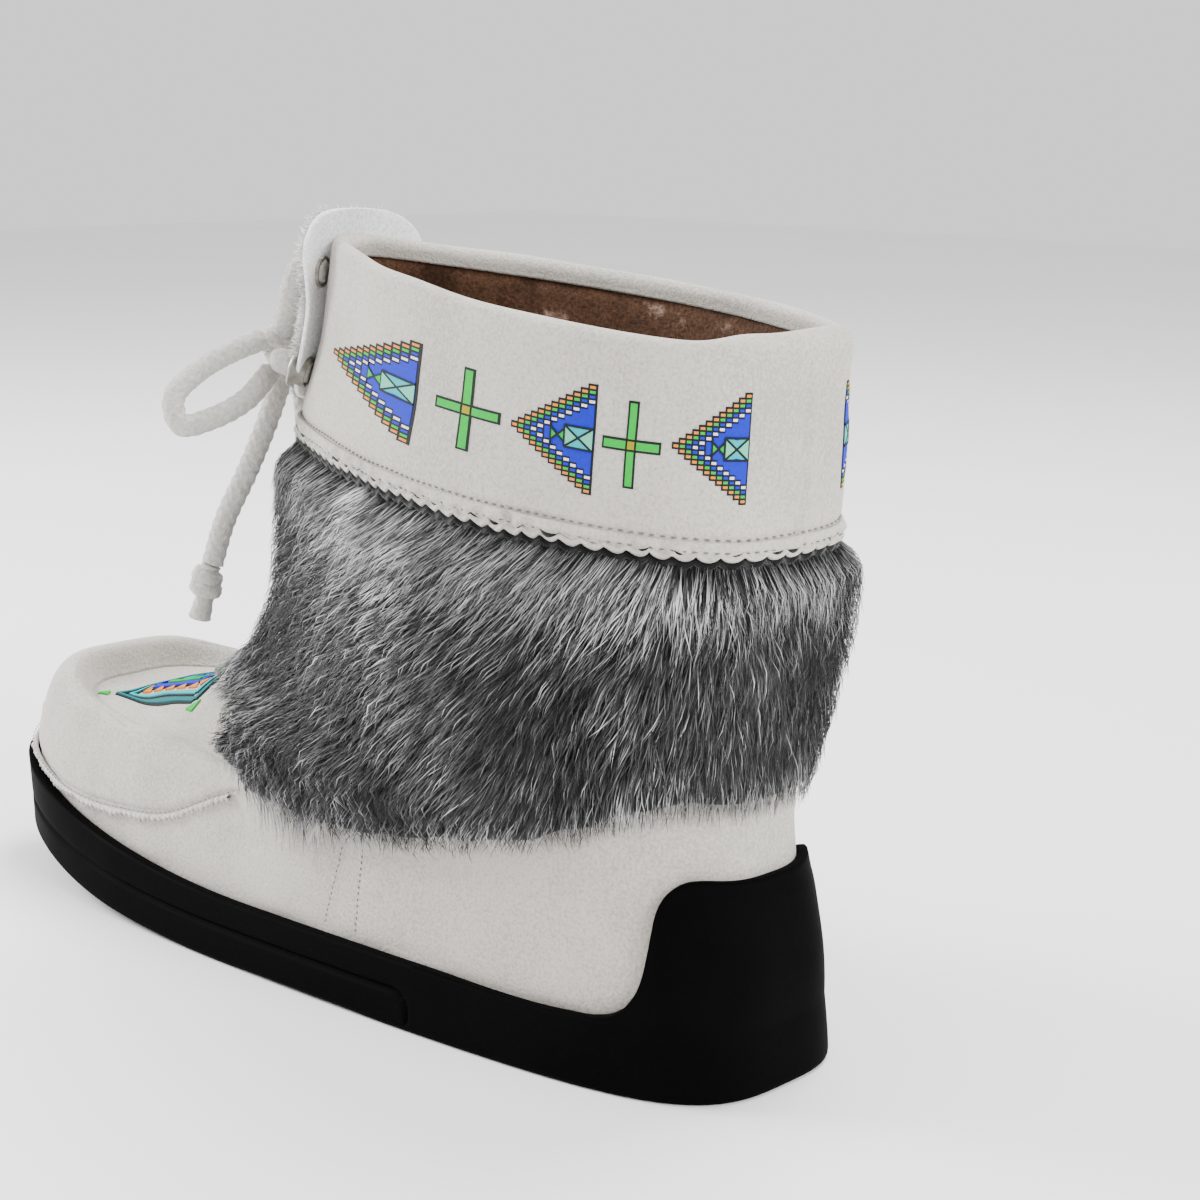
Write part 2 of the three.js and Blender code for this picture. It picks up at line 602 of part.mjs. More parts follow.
function makeKnot() {
  const ball = new THREE.SphereGeometry(1, 10, 8);
  ball.scale(knotRadius * 0.75, knotRadius, knotRadius * 0.85);
  ball.translate(...knotCentre.toArray());
  const strands = eyeletPlaces.filter(({ row }) => row === 0).map((place) => cordSolid([
    ...throughEyelet(place),
    besideEyelet(place, laceTurn, [0, -place.side * strandLean, -strandDrop]),
    knotCentre.clone().add(new THREE.Vector3(-2, place.side * 3.5, 4)),
  ], 8));
  return wasm.Manifold.union([solidOf(ball), ...strands]);
}

const routeOf = (points) => points.map((p) => new THREE.Vector3(...p));

function makeEndKnot(centre) {
  const ball = new THREE.SphereGeometry(endKnotRadius, 8, 6);
  ball.scale(0.95, 0.95, 1.15);
  ball.translate(...centre);
  return solidOf(ball);
}

const finishes = {
  rubber: { color: 0x101011, roughness: 0.75, metalness: 0 },
  suede: { color: 0xd9d5cd, roughness: 0.95, metalness: 0 },
  fur: { color: 0x6e6e70, roughness: 1, metalness: 0 },
  braid: { color: 0xe4e0d8, roughness: 0.9, metalness: 0 },
  felt: { color: 0x8a6a52, roughness: 1, metalness: 0 },
  brass: { color: 0xb8b4aa, roughness: 0.4, metalness: 1 },
};

const boot = new THREE.Group();
const { sole, tread } = makeSoleParts();
boot.add(meshOf('sole', sole, finishes.rubber));
boot.add(meshOf('forefoot_tread', tread, finishes.rubber));
boot.add(meshOf('insole', makeInsole(), finishes.felt));
boot.add(meshOf('upper', makeUpper(), finishes.suede));
boot.add(meshOf('cuff', makeCuff(), finishes.suede));
boot.add(meshOf('fur_band', makeFurBand(), finishes.fur));
boot.add(meshOf('tongue', makeTongue(), finishes.suede));
for (const place of eyeletPlaces) {
  const name = `eyelet_${place.row === 0 ? 'upper' : 'lower'}_${place.side > 0 ? 'outer' : 'inner'}`;
  boot.add(meshOf(name, makeEyelet(place), finishes.brass));
}
boot.add(meshOf('lace_bar', makeLaceBar(), finishes.braid));

// The boot stands with the middle of its base at the origin; the lace in front of it is not counted.
const box = new THREE.Box3().setFromObject(boot);
boot.position.set(-(box.min.x + box.max.x) / 2, -(box.min.y + box.max.y) / 2, -box.min.z);

boot.add(meshOf('lace_knot', makeKnot(), finishes.braid));
boot.add(meshOf('lace_loop_outer', cordSolid(routeOf(LACE.outerLoop), loopSteps), finishes.braid));
boot.add(meshOf('lace_loop_inner', cordSolid(routeOf(LACE.innerLoop), loopSteps), finishes.braid));
boot.add(meshOf('lace_end_outer', cordSolid(routeOf(LACE.outerEnd), endSteps), finishes.braid));
boot.add(meshOf('lace_end_inner', cordSolid(routeOf(LACE.innerEnd), endSteps), finishes.braid));
boot.add(meshOf('lace_end_knot_outer', makeEndKnot(LACE.outerEndKnot), finishes.braid));
boot.add(meshOf('lace_end_knot_inner', makeEndKnot(LACE.innerEndKnot), finishes.braid));

export default boot;
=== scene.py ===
"""Looks of a mukluk boot, the left one of a pair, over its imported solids.

All sizes inside the classes are millimetres in the last's own frame: x = 0 at the back of the
upper, toe towards +X, the wearer's left (outer side) towards +Y, z = 0 on the ground. The meshes
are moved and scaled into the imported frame, in metres, when they are made.
"""

import logging
import math
from dataclasses import dataclass, field
from enum import Enum

import bpy
import numpy as np
from mathutils import Matrix, Vector


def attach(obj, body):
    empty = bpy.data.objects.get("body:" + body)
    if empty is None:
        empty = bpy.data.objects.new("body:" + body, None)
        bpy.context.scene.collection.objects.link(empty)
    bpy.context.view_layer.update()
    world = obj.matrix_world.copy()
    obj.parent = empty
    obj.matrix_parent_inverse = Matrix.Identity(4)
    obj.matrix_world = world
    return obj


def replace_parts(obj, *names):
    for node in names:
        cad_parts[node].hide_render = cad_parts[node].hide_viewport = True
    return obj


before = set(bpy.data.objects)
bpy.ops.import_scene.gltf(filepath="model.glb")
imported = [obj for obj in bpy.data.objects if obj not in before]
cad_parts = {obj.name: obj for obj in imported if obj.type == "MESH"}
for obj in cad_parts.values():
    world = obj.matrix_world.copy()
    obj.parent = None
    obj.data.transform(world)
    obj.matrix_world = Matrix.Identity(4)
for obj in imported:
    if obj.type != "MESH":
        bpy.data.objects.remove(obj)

logging.basicConfig(level=logging.INFO, format="%(message)s")
log = logging.getLogger("boot")
Array = np.ndarray
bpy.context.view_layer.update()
SHIFT: Array = np.array([129.0496, 0.2684, 0.0])  # from the last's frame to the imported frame
GAP: float = 0.3  # left between pieces that touch
CUFF_EDGE: int = 9  # ring of the last at the cuff's lower edge
COLLAR: int = 11
WALL: float = 2.4  # the upper with its lining
CUFF_WALL: float = 1.8


# Small numeric tools


def lerp(a: Array | float, b: Array | float, t: Array | float) -> Array | float:
    """Straight mix of a and b."""
    return a + (b - a) * t


def smooth(x: Array | float) -> Array | float:
    """Soft step from 0 to 1: 3x^2 - 2x^3 of x held between 0 and 1."""
    x = np.clip(x, 0.0, 1.0)
    return x * x * (3 - 2 * x)


def unit(v: Array) -> Array:
    """Vectors scaled to length 1."""
    return v / np.maximum(np.linalg.norm(v, axis=-1, keepdims=True), 1e-9)


def table_at(table: Array, at: Array | float) -> Array:
    """Value of a two-column table at a place, with a soft passage between its rows.

    Args:
        table: rows of (place, value).
        at: places to read.
    Returns:
        The values there.
    """
    i = np.clip(np.searchsorted(table[:, 0], at, side="right") - 1, 0, len(table) - 2)
    low, high = table[i], table[i + 1]
    t = (at - low[..., 0]) / (high[..., 0] - low[..., 0])
    return lerp(low[..., 1], high[..., 1], smooth(t))


def curve_at(table: Array, at: Array | float) -> Array:
    """Value of a two-column table at a place, on a smooth curve through its rows (cubic pieces with
    central slopes)."""
    slope = np.gradient(table[:, 1], table[:, 0])
    i = np.clip(np.searchsorted(table[:, 0], at, side="right") - 1, 0, len(table) - 2)
    low, high, span = table[i], table[i + 1], table[i + 1][..., 0] - table[i][..., 0]
    t = np.clip((at - low[..., 0]) / span, 0, 1)
    t2, t3 = t * t, t * t * t
    ends = (2 * t3 - 3 * t2 + 1) * low[..., 1] + (3 * t2 - 2 * t3) * high[..., 1]
    return ends + span * ((t3 - 2 * t2 + t) * slope[i] + (t3 - t2) * slope[i + 1])


def waves(points: Array, size: float, seed: int, count: int = 9) -> Array:
    """Soft random field between about -1 and 1: a sum of sine waves in random directions.

    Args:
        points: places, in millimetres.
        size: length of the shortest wave.
        seed: which field.
        count: how many waves.
    Returns:
        One value for each point.
    """
    rng = np.random.default_rng(seed)
    ways = unit(rng.normal(size=(count, 3))) * (2 * math.pi / size) / rng.uniform(1, 2.2, (count, 1))
    phases = rng.uniform(0, 2 * math.pi, count)
    return np.sin(points @ ways.T + phases).sum(-1) / math.sqrt(count / 2) * 0.6


def bump_at(x: Array | float, centre: float, width: float) -> Array:
    """Bell of height 1 at centre, about width wide."""
    return np.exp(-(((x - centre) / (width / 2)) ** 2))


# Last


@dataclass(frozen=True)
class Last:
    """The last of the boot as rings from the footbed to the collar, as in the part's source."""

    length: float = 266.0
    ball: float = 48.0
    shaft: float = 169.0
    floor: float = 9.8
    step: float = 0.9
    columns: tuple[str, ...] = tuple(
        "back front zBack zFront outHeel outWaist outToe inHeel inWaist inToe pBack pFront from bend".split()
    )
    rows: tuple[tuple[float, ...], ...] = (
        (0.008, 0.972, 0.000, 0.114, 0.77, 0.78, 1.02, 0.75, 0.70, 1.08, 0.52, 0.62, 0.54, 2),
        (0.000, 1.000, 0.037, 0.163, 0.80, 0.80, 1.08, 0.78, 0.73, 1.14, 0.52, 0.61, 0.54, 2),
        (-0.004, 1.002, 0.115, 0.234, 0.80, 0.80, 1.04, 0.78, 0.74, 1.12, 0.56, 0.60, 0.45, 2),
        (0.000, 0.962, 0.202, 0.303, 0.80, 0.78, 0.84, 0.78, 0.75, 0.90, 0.62, 0.58, 0.35, 1.5),
        (0.004, 0.918, 0.246, 0.270, 0.79, 0.77, 0.58, 0.78, 0.75, 0.64, 0.66, 0.56, 0.30, 1.3),
        (0.008, 0.838, 0.294, 0.283, 0.79, 0.76, 0.44, 0.78, 0.75, 0.48, 0.68, 0.56, 0.20, 1.2),
        (0.011, 0.700, 0.361, 0.355, 0.79, 0.76, 0.38, 0.78, 0.75, 0.40, 0.67, 0.56, 0.10, 1.1),
        (0.010, 0.630, 0.456, 0.467, 0.79, 0.76, 0.32, 0.78, 0.75, 0.33, 0.64, 0.56, 0.05, 1),
        (0.003, 0.602, 0.575, 0.607, 0.80, 0.76, 0.27, 0.79, 0.75, 0.27, 0.61, 0.55, 0, 1),
        (-0.009, 0.594, 0.729, 0.795, 0.79, 0.76, 0.32, 0.78, 0.74, 0.22, 0.58, 0.55, 0, 1),
        (-0.014, 0.563, 0.865, 0.947, 0.80, 0.76, 0.25, 0.76, 0.72, 0.22, 0.58, 0.54, 0, 1),
        (-0.019, 0.541, 1.000, 1.098, 0.82, 0.77, 0.27, 0.76, 0.70, 0.22, 0.58, 0.52, 0, 1),
    )
    toe_seam: tuple[tuple[float, float], ...] = (
        (0, 4.2), (0.5, 3.6), (0.6, 2.7), (0.66, 2.13), (0.74, 1.73), (0.83, 1.4), (1, 1.25),
    )

    def column(self, name: str, ring: Array) -> Array:
        """A column between rings: a cubic through the rows, straight past both ends."""
        v = np.array([row[self.columns.index(name)] for row in self.rows])
        n = len(v) - 1
        slope = np.gradient(v)
        slope[0], slope[-1] = v[1] - v[0], v[-1] - v[-2]
        i = np.clip(np.floor(ring).astype(int), 0, n - 1)
        t = np.clip(ring - i, 0, 1)
        t2, t3 = t * t, t * t * t
        inside = (2 * t3 - 3 * t2 + 1) * v[i] + (t3 - 2 * t2 + t) * slope[i]
        inside = inside + (3 * t2 - 2 * t3) * v[i + 1] + (t3 - t2) * slope[i + 1]
        return inside + slope[-1] * np.maximum(ring - n, 0) + slope[0] * np.minimum(ring, 0)

    def point(self, angle: Array, ring: Array) -> Array:
        """Point of the last: s = (1 - cos angle) / 2 runs from heel to toe, the half width is
        heel (1-s)(1-2s) + waist 4s(1-s) + toe s(2s-1), times |sin angle| to a power."""
        angle, ring = np.broadcast_arrays(np.asarray(angle, float), np.asarray(ring, float))
        s, sine = (1 - np.cos(angle)) / 2, np.sin(angle)
        halves = [
            self.column(side + "Heel", ring) * (1 - s) * (1 - 2 * s)
            + self.column(side + "Waist", ring) * 4 * s * (1 - s)
            + self.column(side + "Toe", ring) * s * (2 * s - 1)
            for side in ("out", "in")
        ]
        half = np.where(sine >= 0, halves[0], halves[1])
        power = np.maximum(0.3, lerp(self.column("pBack", ring), self.column("pFront", ring), s))
        start = np.maximum(0, self.column("from", ring))
        lift = np.clip((s - start) / (1 - start), 0, 1) ** np.maximum(1, self.column("bend", ring))
        high = lerp(self.column("zBack", ring), self.column("zFront", ring), lift)
        x = self.length * lerp(self.column("back", ring), self.column("front", ring), s)
        y = np.sign(sine) * self.ball * half * np.abs(sine) ** power
        return np.stack([x, y, lerp(self.floor, self.shaft, high)], -1)

    def normal(self, angle: Array, ring: Array) -> Array:
        """Outward normal: the cross product of the slopes along the rings and round them."""
        round_ = self.point(angle + 0.02, ring) - self.point(angle - 0.02, ring)
        up = self.point(angle, ring + 0.05) - self.point(angle, ring - 0.05)
        return unit(np.cross(up, round_))

    def step_out(self, angle: Array, ring: Array) -> Array:
        """Small step of the toe piece over the lower side."""
        s = (1 - np.cos(angle)) / 2
        seam = curve_at(np.array(self.toe_seam), s)
        return (
            self.step * smooth((ring - seam) / 0.12 + 0.5) * smooth((5 - ring) / 1.5) * smooth((s - 0.45) / 0.1)
        )

    def spread(self, count: int, ring: float, half: bool = False) -> Array:
        """Angles round a ring, or round its outer half, at equal distances along it."""
        fine = np.linspace(0, math.pi if half else 2 * math.pi, 4001)
        fine = fine + 0.45 * np.sin(2 * fine) * -0.5
        fine[0], fine[-1] = 0, math.pi if half else 2 * math.pi
        line = self.point(fine, ring)
        run = np.concatenate([[0], np.cumsum(np.linalg.norm(np.diff(line, axis=0), axis=1))])
        return np.interp(np.linspace(0, run[-1], count, endpoint=half), run, fine)

    def skin(self, angle: Array, ring: Array, offset: Array | float = 0.0) -> Array:
        """Outer face of the upper, or a face at a distance from it."""
        angle, ring = np.broadcast_arrays(np.asarray(angle, float), np.asarray(ring, float))
        away = self.step_out(angle, ring) + offset
        return self.point(angle, ring) + self.normal(angle, ring) * np.asarray(away)[..., None]


def along(angle: Array) -> Array:
    """Share of the way from heel to toe."""
    return (1 - np.cos(angle)) / 2


def angle_of(share: Array) -> Array:
    """Angle on the outer side at a share of the way from heel to toe."""
    return np.arccos(np.clip(1 - 2 * np.asarray(share, float), -1, 1))


# Mesh making


def rings_of(rows: int, columns: int, closed: bool) -> Array:
    """Quads between rings of equal length; the last ring meets the first when closed is true."""
    k = np.arange(rows if closed else rows - 1)[:, None]
    i = np.arange(columns)[None, :]
    a, b = k * columns + i, k * columns + (i + 1) % columns
    c, d = ((k + 1) % rows) * columns + i, ((k + 1) % rows) * columns + (i + 1) % columns
    return np.stack([a, b, d, c], -1).reshape(-1, 4)


def sheet_of(rows: int, columns: int) -> Array:
    """Quads of an open grid."""
    k, i = np.arange(rows - 1)[:, None], np.arange(columns - 1)[None, :]
    a = k * columns + i
    return np.stack([a, a + 1, a + columns + 1, a + columns], -1).reshape(-1, 4)


def many(points: Array, faces: Array) -> tuple[Array, Array]:
    """Joins equal small shapes: points (shapes, vertices, 3) share one face list."""
    shapes, size = points.shape[:2]
    start = (np.arange(shapes) * size)[:, None, None]
    return points.reshape(-1, 3), (faces[None] + start).reshape(-1, faces.shape[1])


def volume_of(points: Array, faces: Array) -> float:
    """Signed volume under the faces: a third of the sum of base area times height."""
    centre = points - points.mean(0)
    a = centre[faces[:, 0]]
    total = 0.0
    for i in range(1, faces.shape[1] - 1):
        b, c = centre[faces[:, i]], centre[faces[:, i + 1]]
        total += float(np.einsum("ij,ij->i", a, np.cross(b, c)).sum())
    return total / 6


def make_piece(
    name: str,
    points: Array,
    faces: Array | list[Array],
    finish: bpy.types.Material,
    slot: str,
    tint: Array | None = None,
    uv: Array | None = None,
    flat: bool = False,
) -> bpy.types.Object:
    """Puts a worked-out shape into a mesh object that rides on the boot.

    Args:
        name: the piece's name.
        points: vertices in millimetres, in the last's frame.
        faces: quads or triangles, or a list of both.
        finish: its material.
        slot: not used.
        tint: a colour for each vertex, read by the finish.
        uv: a place on the piece's own flat frame for each vertex.
        flat: true for facets that stay sharp.
    Returns:
        The object, at the origin, unturned and unscaled.
    """
    groups = faces if isinstance(faces, list) else [faces]
    if sum(volume_of(points, g) for g in groups) < 0:
        groups = [g[:, ::-1] for g in groups]
    loops = np.concatenate([g.ravel() for g in groups]).astype(np.int32)
    sizes = np.concatenate([np.full(len(g), g.shape[1]) for g in groups]).astype(np.int32)
    mesh = bpy.data.meshes.new(name)
    mesh.vertices.add(len(points))
    mesh.vertices.foreach_set("co", ((points - SHIFT) / 1000).astype(np.float32).ravel())
    mesh.loops.add(len(loops))
    mesh.loops.foreach_set("vertex_index", loops)
    mesh.polygons.add(len(sizes))
    mesh.polygons.foreach_set("loop_start", (np.cumsum(sizes) - sizes).astype(np.int32))
    mesh.polygons.foreach_set("use_smooth", np.full(len(sizes), not flat))
    mesh.update(calc_edges=True)
    if tint is not None:
        layer = mesh.color_attributes.new(name="tint", type="FLOAT_COLOR", domain="POINT")
        layer.data.foreach_set("color", np.c_[tint, np.ones(len(tint))].astype(np.float32).ravel())
    if uv is not None:
        mesh.uv_layers.new(name="UVMap").data.foreach_set("uv", uv[loops].astype(np.float32).ravel())
    mesh.validate()
    mesh.materials.append(finish)
    piece = bpy.data.objects.new(name, mesh)
    bpy.context.scene.collection.objects.link(piece)
    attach(piece, "root")
    log.info("%s: %d triangles", name, int((sizes - 2).sum()))
    return piece


# Finishes


class Nodes:
    """A material under construction."""

    def __init__(self, name: str) -> None:
        """Starts an empty principled material."""
        self.material = bpy.data.materials.new(name)
        self.material.use_nodes = True
        self.tree = self.material.node_tree
        self.shader = self.tree.nodes["Principled BSDF"]
        self.place = self.tree.nodes.new("ShaderNodeTexCoord").outputs["Object"]

    def add(self, kind: str, inputs: dict | None = None, **settings: object) -> bpy.types.Node:
        """Adds a node, with values or links for its inputs and its settings."""
        node = self.tree.nodes.new("ShaderNode" + kind)
        for key, value in settings.items():
            setattr(node, key, value)
        for key, value in (inputs or {}).items():
            self.feed(node.inputs[key], value)
        return node

    def feed(self, socket: bpy.types.NodeSocket, value: object) -> None:
        """Links an output to a socket, or sets its value."""
        if isinstance(value, bpy.types.NodeSocket):
            self.tree.links.new(value, socket)
        else:
            socket.default_value = value

    def set(self, **values: object) -> None:
        """Sets the shader's own sockets, with _ for the blanks in their names."""
        for key, value in values.items():
            self.feed(self.shader.inputs[key.replace("_", " ")], value)

    def noise(self, size: float, detail: float = 3.0, rough: float = 0.55, at: object = None) -> object:
        """Noise whose features are about size millimetres."""
        return self.add(
            "TexNoise",
            {"Vector": at or self.place, "Scale": 1000 / size, "Detail": detail, "Roughness": rough},
        ).outputs["Fac"]

    def ramp(self, value: object, stops: list[tuple[float, tuple[float, float, float]]]) -> object:
        """Colours by value, at the given stops."""
        node = self.add("ValToRGB", {"Fac": value})
        band = node.color_ramp
        while len(band.elements) < len(stops):
            band.elements.new(0.5)
        for element, (at, colour) in zip(band.elements, stops):
            element.position, element.color = at, (*colour, 1)
        return node.outputs["Color"]

    def curve(self, value: object, low: float, high: float, to_low: float, to_high: float) -> object:
        """Value moved from one range to another, held at its ends."""
        names = ["Value", "From Min", "From Max", "To Min", "To Max"]
        return self.add("MapRange", dict(zip(names, [value, low, high, to_low, to_high]))).outputs["Result"]

    def math(self, what: str, a: object, b: object = 0.0) -> object:
        """Sum, product or other sum of two values."""
        node = self.tree.nodes.new("ShaderNodeMath")
        node.operation = what
        self.feed(node.inputs[0], a)
        self.feed(node.inputs[1], b)
        return node.outputs[0]

    def multiply(self, colour: object, by: object, share: float = 1.0) -> object:
        """Colour times a grey value."""
        node = self.tree.nodes.new("ShaderNodeMix")
        node.data_type, node.blend_type = "RGBA", "MULTIPLY"
        self.feed(node.inputs[0], share)
        self.feed(node.inputs[6], colour)
        self.feed(node.inputs[7], by)
        return node.outputs[2]

    def relief(self, height: object, depth: float, strength: float = 1.0, under: object = None) -> object:
        """Relief by bump, depth millimetres high, over another relief if there is one."""
        inputs = {"Height": height, "Distance": depth / 1000, "Strength": strength}
        if under is not None:
            inputs["Normal"] = under
        return self.add("Bump", inputs).outputs["Normal"]

    def tint(self) -> object:
        """The piece's own colour attribute."""
        return self.add("Attribute", attribute_name="tint").outputs["Color"]


@dataclass(frozen=True)
class Suede:
    """Brushed pale suede: fine nap, faint mottling and a soft sheen."""

    colour: tuple[float, float, float] = (0.49, 0.459, 0.412)
    nap: float = 0.8
    depth: float = 0.2

    def make(self, name: str) -> bpy.types.Material:
        """The material, by its name."""
        n = Nodes(name)
        nap = n.noise(self.nap, 3, 0.6)
        cloud = n.noise(38, 3, 0.5)
        light = tuple(min(1, 1.12 * c) for c in self.colour)
        dark = tuple(0.80 * c for c in self.colour)
        base = n.ramp(n.math("ADD", n.math("MULTIPLY", nap, 0.65), n.math("MULTIPLY", cloud, 0.35)),
                      [(0.40, dark), (0.5, self.colour), (0.60, light)])
        n.set(Base_Color=base, Roughness=0.92, Specular_IOR_Level=0.18, Sheen_Weight=0.18,
              Sheen_Roughness=0.5)
        coarse = n.relief(n.noise(4.5, 2, 0.5), 0.22, 0.5)
        n.set(Normal=n.relief(nap, self.depth * 2.2, 0.9, coarse))
        return n.material


@dataclass(frozen=True)
class Rubber:
    """Matte black moulded rubber with a fine grain."""

    colour: tuple[float, float, float] = (0.0009, 0.0009, 0.001)

    def make(self, name: str) -> bpy.types.Material:
        """The material, by its name."""
        n = Nodes(name)
        grain, cloud = n.noise(0.9, 3, 0.6), n.noise(26, 2, 0.5)
        base = n.ramp(cloud, [(0.35, self.colour), (0.65, tuple(1.8 * c for c in self.colour))])
        n.set(Base_Color=base, Roughness=n.curve(cloud, 0.3, 0.7, 0.62, 0.75), Specular_IOR_Level=0.02,
              Normal=n.relief(grain, 0.12, 0.6))
        return n.material


@dataclass(frozen=True)
class Plush:
    """Short brown pile, crushed in patches; the pale colour of those patches is a painted highlight."""

    dark: tuple[float, float, float] = (0.045, 0.019, 0.009)
    mid: tuple[float, float, float] = (0.10, 0.048, 0.026)
    # pale: painted highlight on the crushed pile
    pale: tuple[float, float, float] = (0.36, 0.235, 0.18)

    def make(self, name: str) -> bpy.types.Material:
        """The material, by its name."""
        n = Nodes(name)
        bend = n.add("TexNoise", {"Vector": n.place, "Scale": 60.0, "Detail": 2.0}).outputs["Color"]
        mixed = n.add("VectorMath", {0: n.place}, operation="ADD")
        scaled = n.add("VectorMath", {0: bend, "Scale": 0.02}, operation="SCALE")
        n.feed(mixed.inputs[1], scaled.outputs[0])
        crush_and_highlight = n.noise(13, 5, 0.62, mixed.outputs[0])
        fuzz = n.noise(0.9, 3, 0.7)
        # the pale stop is a painted highlight; the same noise also gives the crushed relief below
        patch = n.ramp(crush_and_highlight, [(0.36, self.dark), (0.52, self.mid), (0.60, self.mid), (0.71, self.pale)])
        n.set(Base_Color=n.multiply(patch, n.ramp(fuzz, [(0.3, (0.45,) * 3), (0.65, (1.25,) * 3)])),
              Roughness=0.85, Specular_IOR_Level=0.2, Sheen_Weight=0.5, Sheen_Roughness=0.35,
              Sheen_Tint=(0.8, 0.6, 0.5, 1))
        n.set(Normal=n.relief(fuzz, 0.5, 0.8, n.relief(crush_and_highlight, 2.2, 0.7)))
        return n.material


@dataclass(frozen=True)
class Hair:
    """Hairs coloured one by one by their own attribute."""

    roughness: float = 0.5
    specular: float = 0.35

    def make(self, name: str) -> bpy.types.Material:
        """The material, by its name."""
        n = Nodes(name)
        n.set(Base_Color=n.multiply(n.tint(), n.ramp(n.noise(16, 2), [(0.3, (0.7,) * 3), (0.7, (1.2,) * 3)])),
              Roughness=self.roughness, Specular_IOR_Level=self.specular)
        return n.material


@dataclass(frozen=True)
class Thread:
    """Twisted or braided yarn."""

    colour: tuple[float, float, float] = (0.58, 0.56, 0.52)
    fibre: float = 0.5
    depth: float = 0.12

    def make(self, name: str) -> bpy.types.Material:
        """The material, by its name."""
        n = Nodes(name)
        fibre = n.noise(self.fibre, 3, 0.7)
        base = n.ramp(fibre, [(0.3, tuple(0.72 * c for c in self.colour)), (0.7, tuple(1.12 * c for c in self.colour))])
        n.set(Base_Color=base, Roughness=0.9, Specular_IOR_Level=0.2, Sheen_Weight=0.25,
              Normal=n.relief(fibre, self.depth, 0.9))
        return n.material


@dataclass(frozen=True)
class Inlay:
    """Flat coloured figures, printed and slightly raised, coloured by their own attribute."""

    def make(self, name: str) -> bpy.types.Material:
        """The material, by its name."""
        n = Nodes(name)
        grain = n.noise(0.7, 3, 0.6)
        n.set(Base_Color=n.multiply(n.tint(), n.ramp(grain, [(0.3, (0.88,) * 3), (0.7, (1.06,) * 3)])),
              Roughness=0.72, Specular_IOR_Level=0.25, Normal=n.relief(grain, 0.06, 0.6))
        return n.material


@dataclass(frozen=True)
class Felt:
    """Pressed wool or pile cloth."""

    colour: tuple[float, float, float] = (0.12, 0.065, 0.04)

    def make(self, name: str) -> bpy.types.Material:
        """The material, by its name."""
        n = Nodes(name)
        fibre, cloud = n.noise(0.6, 4, 0.7), n.noise(14, 3, 0.6)
        base = n.ramp(cloud, [(0.3, tuple(0.7 * c for c in self.colour)), (0.7, tuple(1.4 * c for c in self.colour))])
        n.set(Base_Color=n.multiply(base, n.ramp(fibre, [(0.3, (0.7,) * 3), (0.7, (1.15,) * 3)])),
              Roughness=0.95, Specular_IOR_Level=0.1, Sheen_Weight=0.3, Normal=n.relief(fibre, 0.3, 0.8))
        return n.material


@dataclass(frozen=True)
class Metal:
    """Dull nickel of the eyelets."""

    def make(self, name: str) -> bpy.types.Material:
        """The material, by its name."""
        n = Nodes(name)
        wear = n.noise(1.6, 3, 0.6)
        n.set(Base_Color=n.ramp(wear, [(0.3, (0.34, 0.33, 0.30)), (0.7, (0.56, 0.55, 0.52))]), Metallic=1.0,
              Roughness=n.curve(wear, 0.3, 0.7, 0.28, 0.5))
        return n.material


# Camera, light and floor


